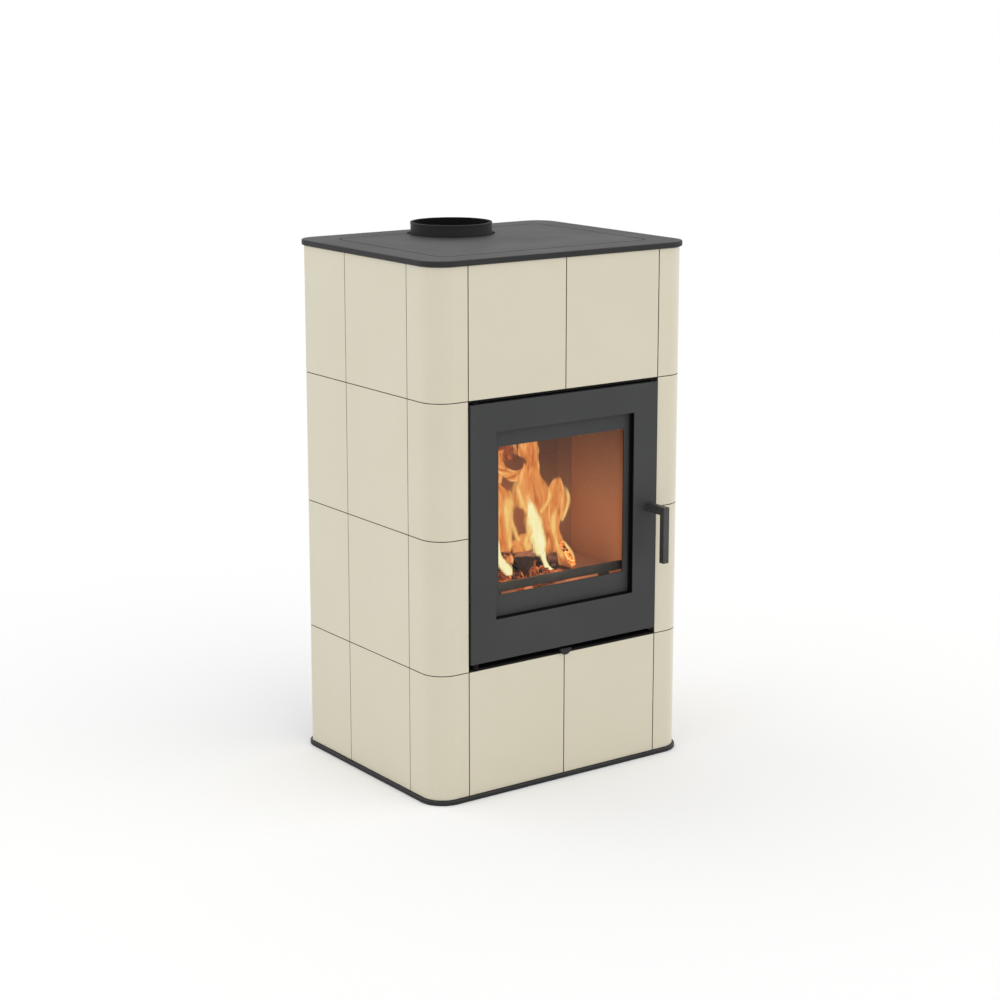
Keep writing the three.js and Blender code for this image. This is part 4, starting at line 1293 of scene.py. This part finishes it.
def makeFlame(name, look):
    # a thin sheet of flame, clear towards its sides and tip, streaked along its length
    material, tree, surface, place = startMaterial(name)
    uv = partsOf(tree, nodeOf(tree, "ShaderNodeUVMap", uv_map="UVMap").outputs[0])
    flow = {
        "X": mathNode(tree, "MULTIPLY", uv["X"], flameFlow["across"]),
        "Y": mathNode(tree, "MULTIPLY", uv["Y"], flameFlow["upwards"]),
    }
    flow = nodeOf(tree, "ShaderNodeCombineXYZ", flow).outputs[0]
    drift = vectorNode(tree, "MULTIPLY_ADD", {0: place, 1: flameFlow["drift"], 2: flow})
    streak = nodeOf(tree, "ShaderNodeTexNoise", {"Vector": drift, **flameFlow["noise"]})
    contrast = flameFlow["contrast"]
    spread = mathNode(tree, "MULTIPLY_ADD", streak.outputs["Fac"], *contrast, clamp=True)
    across = mathNode(tree, "ABSOLUTE", mathNode(tree, "MULTIPLY_ADD", uv["X"], 2.0, -1.0))
    uneven = mathNode(tree, "MULTIPLY_ADD", spread, -look["ragged"], across)
    clear = 1.0 - 0.5 * look["ragged"]
    cover = rangeNode(tree, uneven, (clear, clear - look["soft"]), (0.0, look["cover"]), smooth=True)
    tip = rangeNode(tree, uv["Y"], (1.0, look["tipFrom"]), smooth=True)
    foot = rangeNode(tree, uv["Y"], (0.0, flameFlow["foot"]), smooth=True)
    heat = mathNode(tree, "MULTIPLY_ADD", spread, look["streak"], look["base"] - 0.3)
    heat = mathNode(tree, "MULTIPLY_ADD", mathNode(tree, "POWER", across, 2.0), look["rim"], heat)
    finish = {
        "Emission Color": rampNode(tree, heat, look["tones"]),
        "Emission Strength": 1.0,
        "Alpha": mathNode(tree, "MULTIPLY", cover, mathNode(tree, "MULTIPLY", tip, foot)),
        "Base Color": (0, 0, 0, 1),
        "Roughness": 1.0,
        "Specular IOR Level": 0.0,
    }
    fill(tree, surface, finish)
    material.cycles.emission_sampling = "NONE"
    return material


flames = {name: makeFlame("flame_" + name, look) for name, look in flameLooks.items()}


def between(stops, share):
    # a smooth place on a row of (x, z, half width) stops, in millimetres
    span = share * (len(stops) - 1)
    index = min(int(span), len(stops) - 2)
    local = span - index
    row = [stops[max(index - 1, 0)], stops[index], stops[index + 1], stops[min(index + 2, len(stops) - 1)]]
    place = []
    for a, b, c, d in zip(*row):
        bend = (c - a) * local + (2 * a - 5 * b + 4 * c - d) * local**2 + (3 * b - a - 3 * c + d) * local**3
        place.append((b + bend / 2) * mm)
    return place


def flameMesh(form, spill):
    # a sheet that rises through its stops, cupped round its middle line
    stops, depth = form["stops"], form["depth"]
    bm = bmesh.new()
    bm.loops.layers.uv.new("UVMap")
    bmesh.ops.create_grid(bm, x_segments=8, y_segments=48, size=0.5, calc_uvs=True)
    for vert in bm.verts:
        share = vert.co.y + 0.5
        side = vert.co.x * 2
        x, z, half = between(stops, share)
        ahead = between(stops, min(share + 0.01, 1.0))
        behind = between(stops, max(share - 0.01, 0.0))
        path = Vector((ahead[0] - behind[0], ahead[1] - behind[1])).normalized()
        across = Vector((path.y, -path.x)) if form["follow"] else Vector((1, 0))
        reach = side * half * spill
        sway = 2.5 * mm * math.sin(share * 8 + depth)
        vert.co = (x + across.x * reach, depth * mm + 0.3 * half * side**2 + sway, z + across.y * reach)
    return bm


# each sheet from foot to tip, as (x, z, half width) in millimetres; one that follows is as wide
# across its path as it says, the others straight across
flameForms = [
    {
        "name": "back_red", "look": "dim", "depth": -45, "follow": False,
        "stops": [(-30, 554, 31), (-28, 568, 31), (-28, 583, 31), (-28, 597, 31)],
    },
    {
        "name": "column", "look": "body", "depth": -55, "follow": False,
        "stops": [(-47, 514, 13), (-47, 536, 16), (-47, 554, 17), (-46, 567, 18), (-46, 579, 15)],
    },
    {
        "name": "link", "look": "body", "depth": -60, "follow": True,
        "stops": [
            (-50, 557, 7), (-41, 547, 8), (-30, 537, 8), (-15, 529, 9), (1, 527, 10), (16, 532, 11),
            (25, 544, 9),
        ],
    },
    {
        "name": "saddle", "look": "body", "depth": -65, "follow": False,
        "stops": [(5, 385, 24), (2, 399, 22), (0, 408, 18), (1, 416, 10), (1, 423, 4.5)],
    },
    {
        "name": "left", "look": "body", "depth": -71, "follow": False,
        "stops": [
            (-49, 389, 24), (-49, 404, 24), (-49, 419, 24), (-51, 437, 22), (-49, 459, 24),
            (-44, 476, 31), (-44, 491, 31), (-52, 507, 20), (-61, 519, 12), (-66, 529, 7),
        ],
    },
    {
        "name": "lobe", "look": "body", "depth": -73, "follow": False,
        "stops": [
            (104, 346, 16), (95, 366, 18), (83, 385, 18), (75, 401, 13), (70, 420, 10), (71, 435, 13),
            (75, 449, 21), (76, 466, 26), (75, 485, 24), (74, 499, 17), (74, 511, 10), (74, 520, 4.5),
        ],
    },
    {
        "name": "plume", "look": "body", "depth": -77, "follow": False,
        "stops": [
            (47, 372, 18), (48, 387, 18), (45, 406, 24), (37, 426, 27), (32, 445, 26), (32, 463, 27),
            (26, 477, 37), (23, 490, 37), (18, 506, 35), (15, 521, 27), (12, 532, 23), (13, 543, 19),
            (14, 558, 14), (5, 573, 24), (4, 588, 24), (4, 606, 24), (4, 621, 18), (4, 642, 13),
        ],
    },
    {
        "name": "rim_edge", "look": "streak", "depth": -79, "follow": True,
        "stops": [(-5, 473, 5), (-11, 486, 5), (-14, 500, 4), (-17, 513, 3), (-18, 526, 2)],
    },
    {
        "name": "rim_left", "look": "streak", "depth": -80, "follow": True,
        "stops": [
            (-33, 398, 3), (-36, 417, 4.5), (-39, 434, 6), (-41, 452, 7), (-40, 470, 9),
            (-36, 484, 10), (-36, 497, 8), (-42, 511, 4.5),
        ],
    },
    {
        "name": "rim_drop", "look": "streak", "depth": -81, "follow": True,
        "stops": [
            (-12, 413, 2.5), (-20, 422, 4), (-26, 432, 4), (-31, 444, 3.5), (-32, 457, 3.5),
            (-30, 471, 3),
        ],
    },
    {
        "name": "rim_middle", "look": "streak", "depth": -82, "follow": True,
        "stops": [(29, 459, 3.5), (40, 467, 4.5), (46, 479, 4.5), (49, 492, 3.5), (51, 504, 2)],
    },
    {
        "name": "rim_lobe", "look": "streak", "depth": -83, "follow": True,
        "stops": [
            (75, 438, 2.5), (83, 447, 3), (90, 459, 4), (92, 473, 4), (88, 490, 3.5), (80, 506, 2.5),
        ],
    },
    {
        "name": "rim_inner", "look": "streak", "depth": -85, "follow": True,
        "stops": [
            (79, 367, 2.5), (70, 387, 4.5), (63, 405, 4.5), (59, 424, 4.5), (59, 443, 4.5),
            (61, 459, 4.5), (63, 474, 2.5),
        ],
    },
    {
        "name": "rim_outer", "look": "streak", "depth": -87, "follow": True,
        "stops": [(108, 350, 2), (102, 366, 2.5), (93, 382, 2.5), (83, 394, 2.5), (72, 403, 2)],
    },
    {
        "name": "leg", "look": "streak", "depth": -89, "follow": True,
        "stops": [(-4, 395, 3.5), (-3, 406, 7), (-2, 419, 8), (-1, 433, 5), (1, 448, 2.5)],
    },
    {
        "name": "core", "look": "core", "depth": -91, "follow": True,
        "stops": [
            (26, 382, 7), (22, 396, 13), (20, 413, 15), (16, 428, 17), (13, 443, 16), (9, 458, 13),
            (4, 472, 9), (-2, 484, 6), (-8, 497, 3),
        ],
    },
    {
        "name": "core_foot", "look": "core", "depth": -93, "follow": True,
        "stops": [
            (64, 347, 2), (49, 352, 4), (37, 360, 5), (32, 372, 5), (30, 384, 7), (26, 397, 10),
        ],
    },
    {
        "name": "stick_a", "look": "dim", "depth": -105, "follow": True,
        "stops": [(-8, 351, 2), (-9, 364, 2.5), (-7, 377, 2), (-5, 386, 1.5)],
    },
    {
        "name": "stick_b", "look": "dim", "depth": -105, "follow": True,
        "stops": [(1, 350, 2), (0, 363, 2.5), (2, 374, 2), (6, 382, 1.5)],
    },
    {
        "name": "crescent", "look": "core", "depth": -127, "follow": True,
        "stops": [
            (-72, 368, 6), (-73, 378, 9), (-83, 390, 8), (-92, 402, 7), (-98, 417, 6), (-99, 432, 4.5),
            (-99, 444, 2),
        ],
    },
]
for form in flameForms:
    look = form["look"]
    bm = flameMesh(form, flameLooks[look]["spill"])
    sheet = finishPiece("flame_" + form["name"], bm, [flames[look]], "stove", smooth=False)
    sheet.visible_shadow = False
print("fire made")

# CAD nodes that keep their shape

dress(castIron, "grate")
dress(stovePaint, "stove_body", "stove_roof", "front_plate")
dress(stovePaint, "air_inlet_spigot", "air_slider", "glass_retainer")
# painted shade: the lintel and sill angles are near black; the hinge pins are black
dress(blackAndShade, "hinge_pin_upper", "hinge_pin_lower", "lintel_angle", "sill_angle")
dress(doorPaint, "inner_frame")
dress(guardIron, "log_guard")
dress(sideBrick, "lining_left", "lining_right")
dress(rearBrick, "lining_rear_lower", "lining_rear_upper", "baffle_plate")
dress(hearthBrick, "hearth_slab")
dress(zinc, "rear_panel", "ash_pan", "tile_rail_left", "tile_rail_right")
dress(steel, "latch_spindle", "latch_keeper")
dress(glass, "door_glass")

# floor and light

floorForm = {"size": 60.0, "tone": 0.95, "fleck": 0.004, "lift": 0.05, "grain": (300.0, 2.0, 0.5)}
skyForm = {"light": 0.76, "seen": 1.0}


def seenMask(tree):
    # 1 for what the camera sees straight, in a reflection or through glass
    rays = nodeOf(tree, "ShaderNodeLightPath").outputs
    seen = mathNode(tree, "MAXIMUM", rays["Is Camera Ray"], rays["Is Glossy Ray"])
    return mathNode(tree, "MAXIMUM", seen, rays["Is Transmission Ray"])


def makeFloorMaterial():
    # pale floor that still takes the shadow, raised to white for the camera and for reflections
    material, tree, surface, place = startMaterial("studio_floor")
    grain = grainNode(tree, place, *floorForm["grain"])
    dark, light = (floorForm["tone"] - floorForm["fleck"],) * 3, (floorForm["tone"],) * 3
    tone = rampNode(tree, grain["Height"], [(0.3, dark), (0.7, light)])
    fill(tree, surface, {"Base Color": tone, "Roughness": 0.9, "Specular IOR Level": 0.0})
    strength = mathNode(tree, "MULTIPLY", seenMask(tree), floorForm["lift"])
    lift = nodeOf(tree, "ShaderNodeEmission", {"Color": (1, 1, 1, 1), "Strength": strength})
    both = nodeOf(tree, "ShaderNodeAddShader", {0: surface.outputs[0], 1: lift.outputs[0]})
    fill(tree, tree.get_output_node("ALL"), {"Surface": both.outputs[0]})
    return material


floorMesh = bmesh.new()
bmesh.ops.create_grid(floorMesh, x_segments=1, y_segments=1, size=floorForm["size"])
floor = meshObject("studio_floor", floorMesh, [makeFloorMaterial()])

world = bpy.data.worlds.new("studio")
scene.world = world
world.use_nodes = True
tree = world.node_tree
tree.nodes.clear()
raised = skyForm["seen"] - skyForm["light"]
strength = mathNode(tree, "MULTIPLY_ADD", seenMask(tree), raised, skyForm["light"])
sky = nodeOf(tree, "ShaderNodeBackground", {"Color": (1, 1, 1, 1), "Strength": strength})
nodeOf(tree, "ShaderNodeOutputWorld", {"Surface": sky.outputs[0]})

# wide, soft lamps so far away that they light the floor evenly
for name, source, spread, power in (
    ("left", (-0.85, 0.45, 0.75), 80, 0.45),
    ("front", (0.45, -0.85, 0.75), 80, 0.55),
    ("top", (0.1, 0.25, 1.0), 90, 0.2),
):
    data = bpy.data.lights.new(name, "SUN")
    data.angle = math.radians(spread)
    data.energy = power
    lamp = addObject(name, data)
    lamp.rotation_euler = Vector(source).to_track_quat("Z", "Y").to_euler()
    lamp.location = Vector(source) * 5

# the fire's own light
fireLamp = {"size": 0.03, "colour": (1.0, 0.53, 0.36)}
for name, place, power in (
    ("fire_light", (-0.02, -0.085, 0.43), 0.5),
    ("ember_light", (0.02, -0.09, 0.395), 0.26),
):
    data = bpy.data.lights.new(name, "POINT")
    data.energy = power
    data.shadow_soft_size = fireLamp["size"]
    data.color = fireLamp["colour"]
    lamp = addObject(name, data)
    lamp.location = place
    lamp.visible_camera = False
    lamp.visible_transmission = False
    lamp.visible_glossy = False

scene.view_settings.view_transform = "Standard"
print("light set")
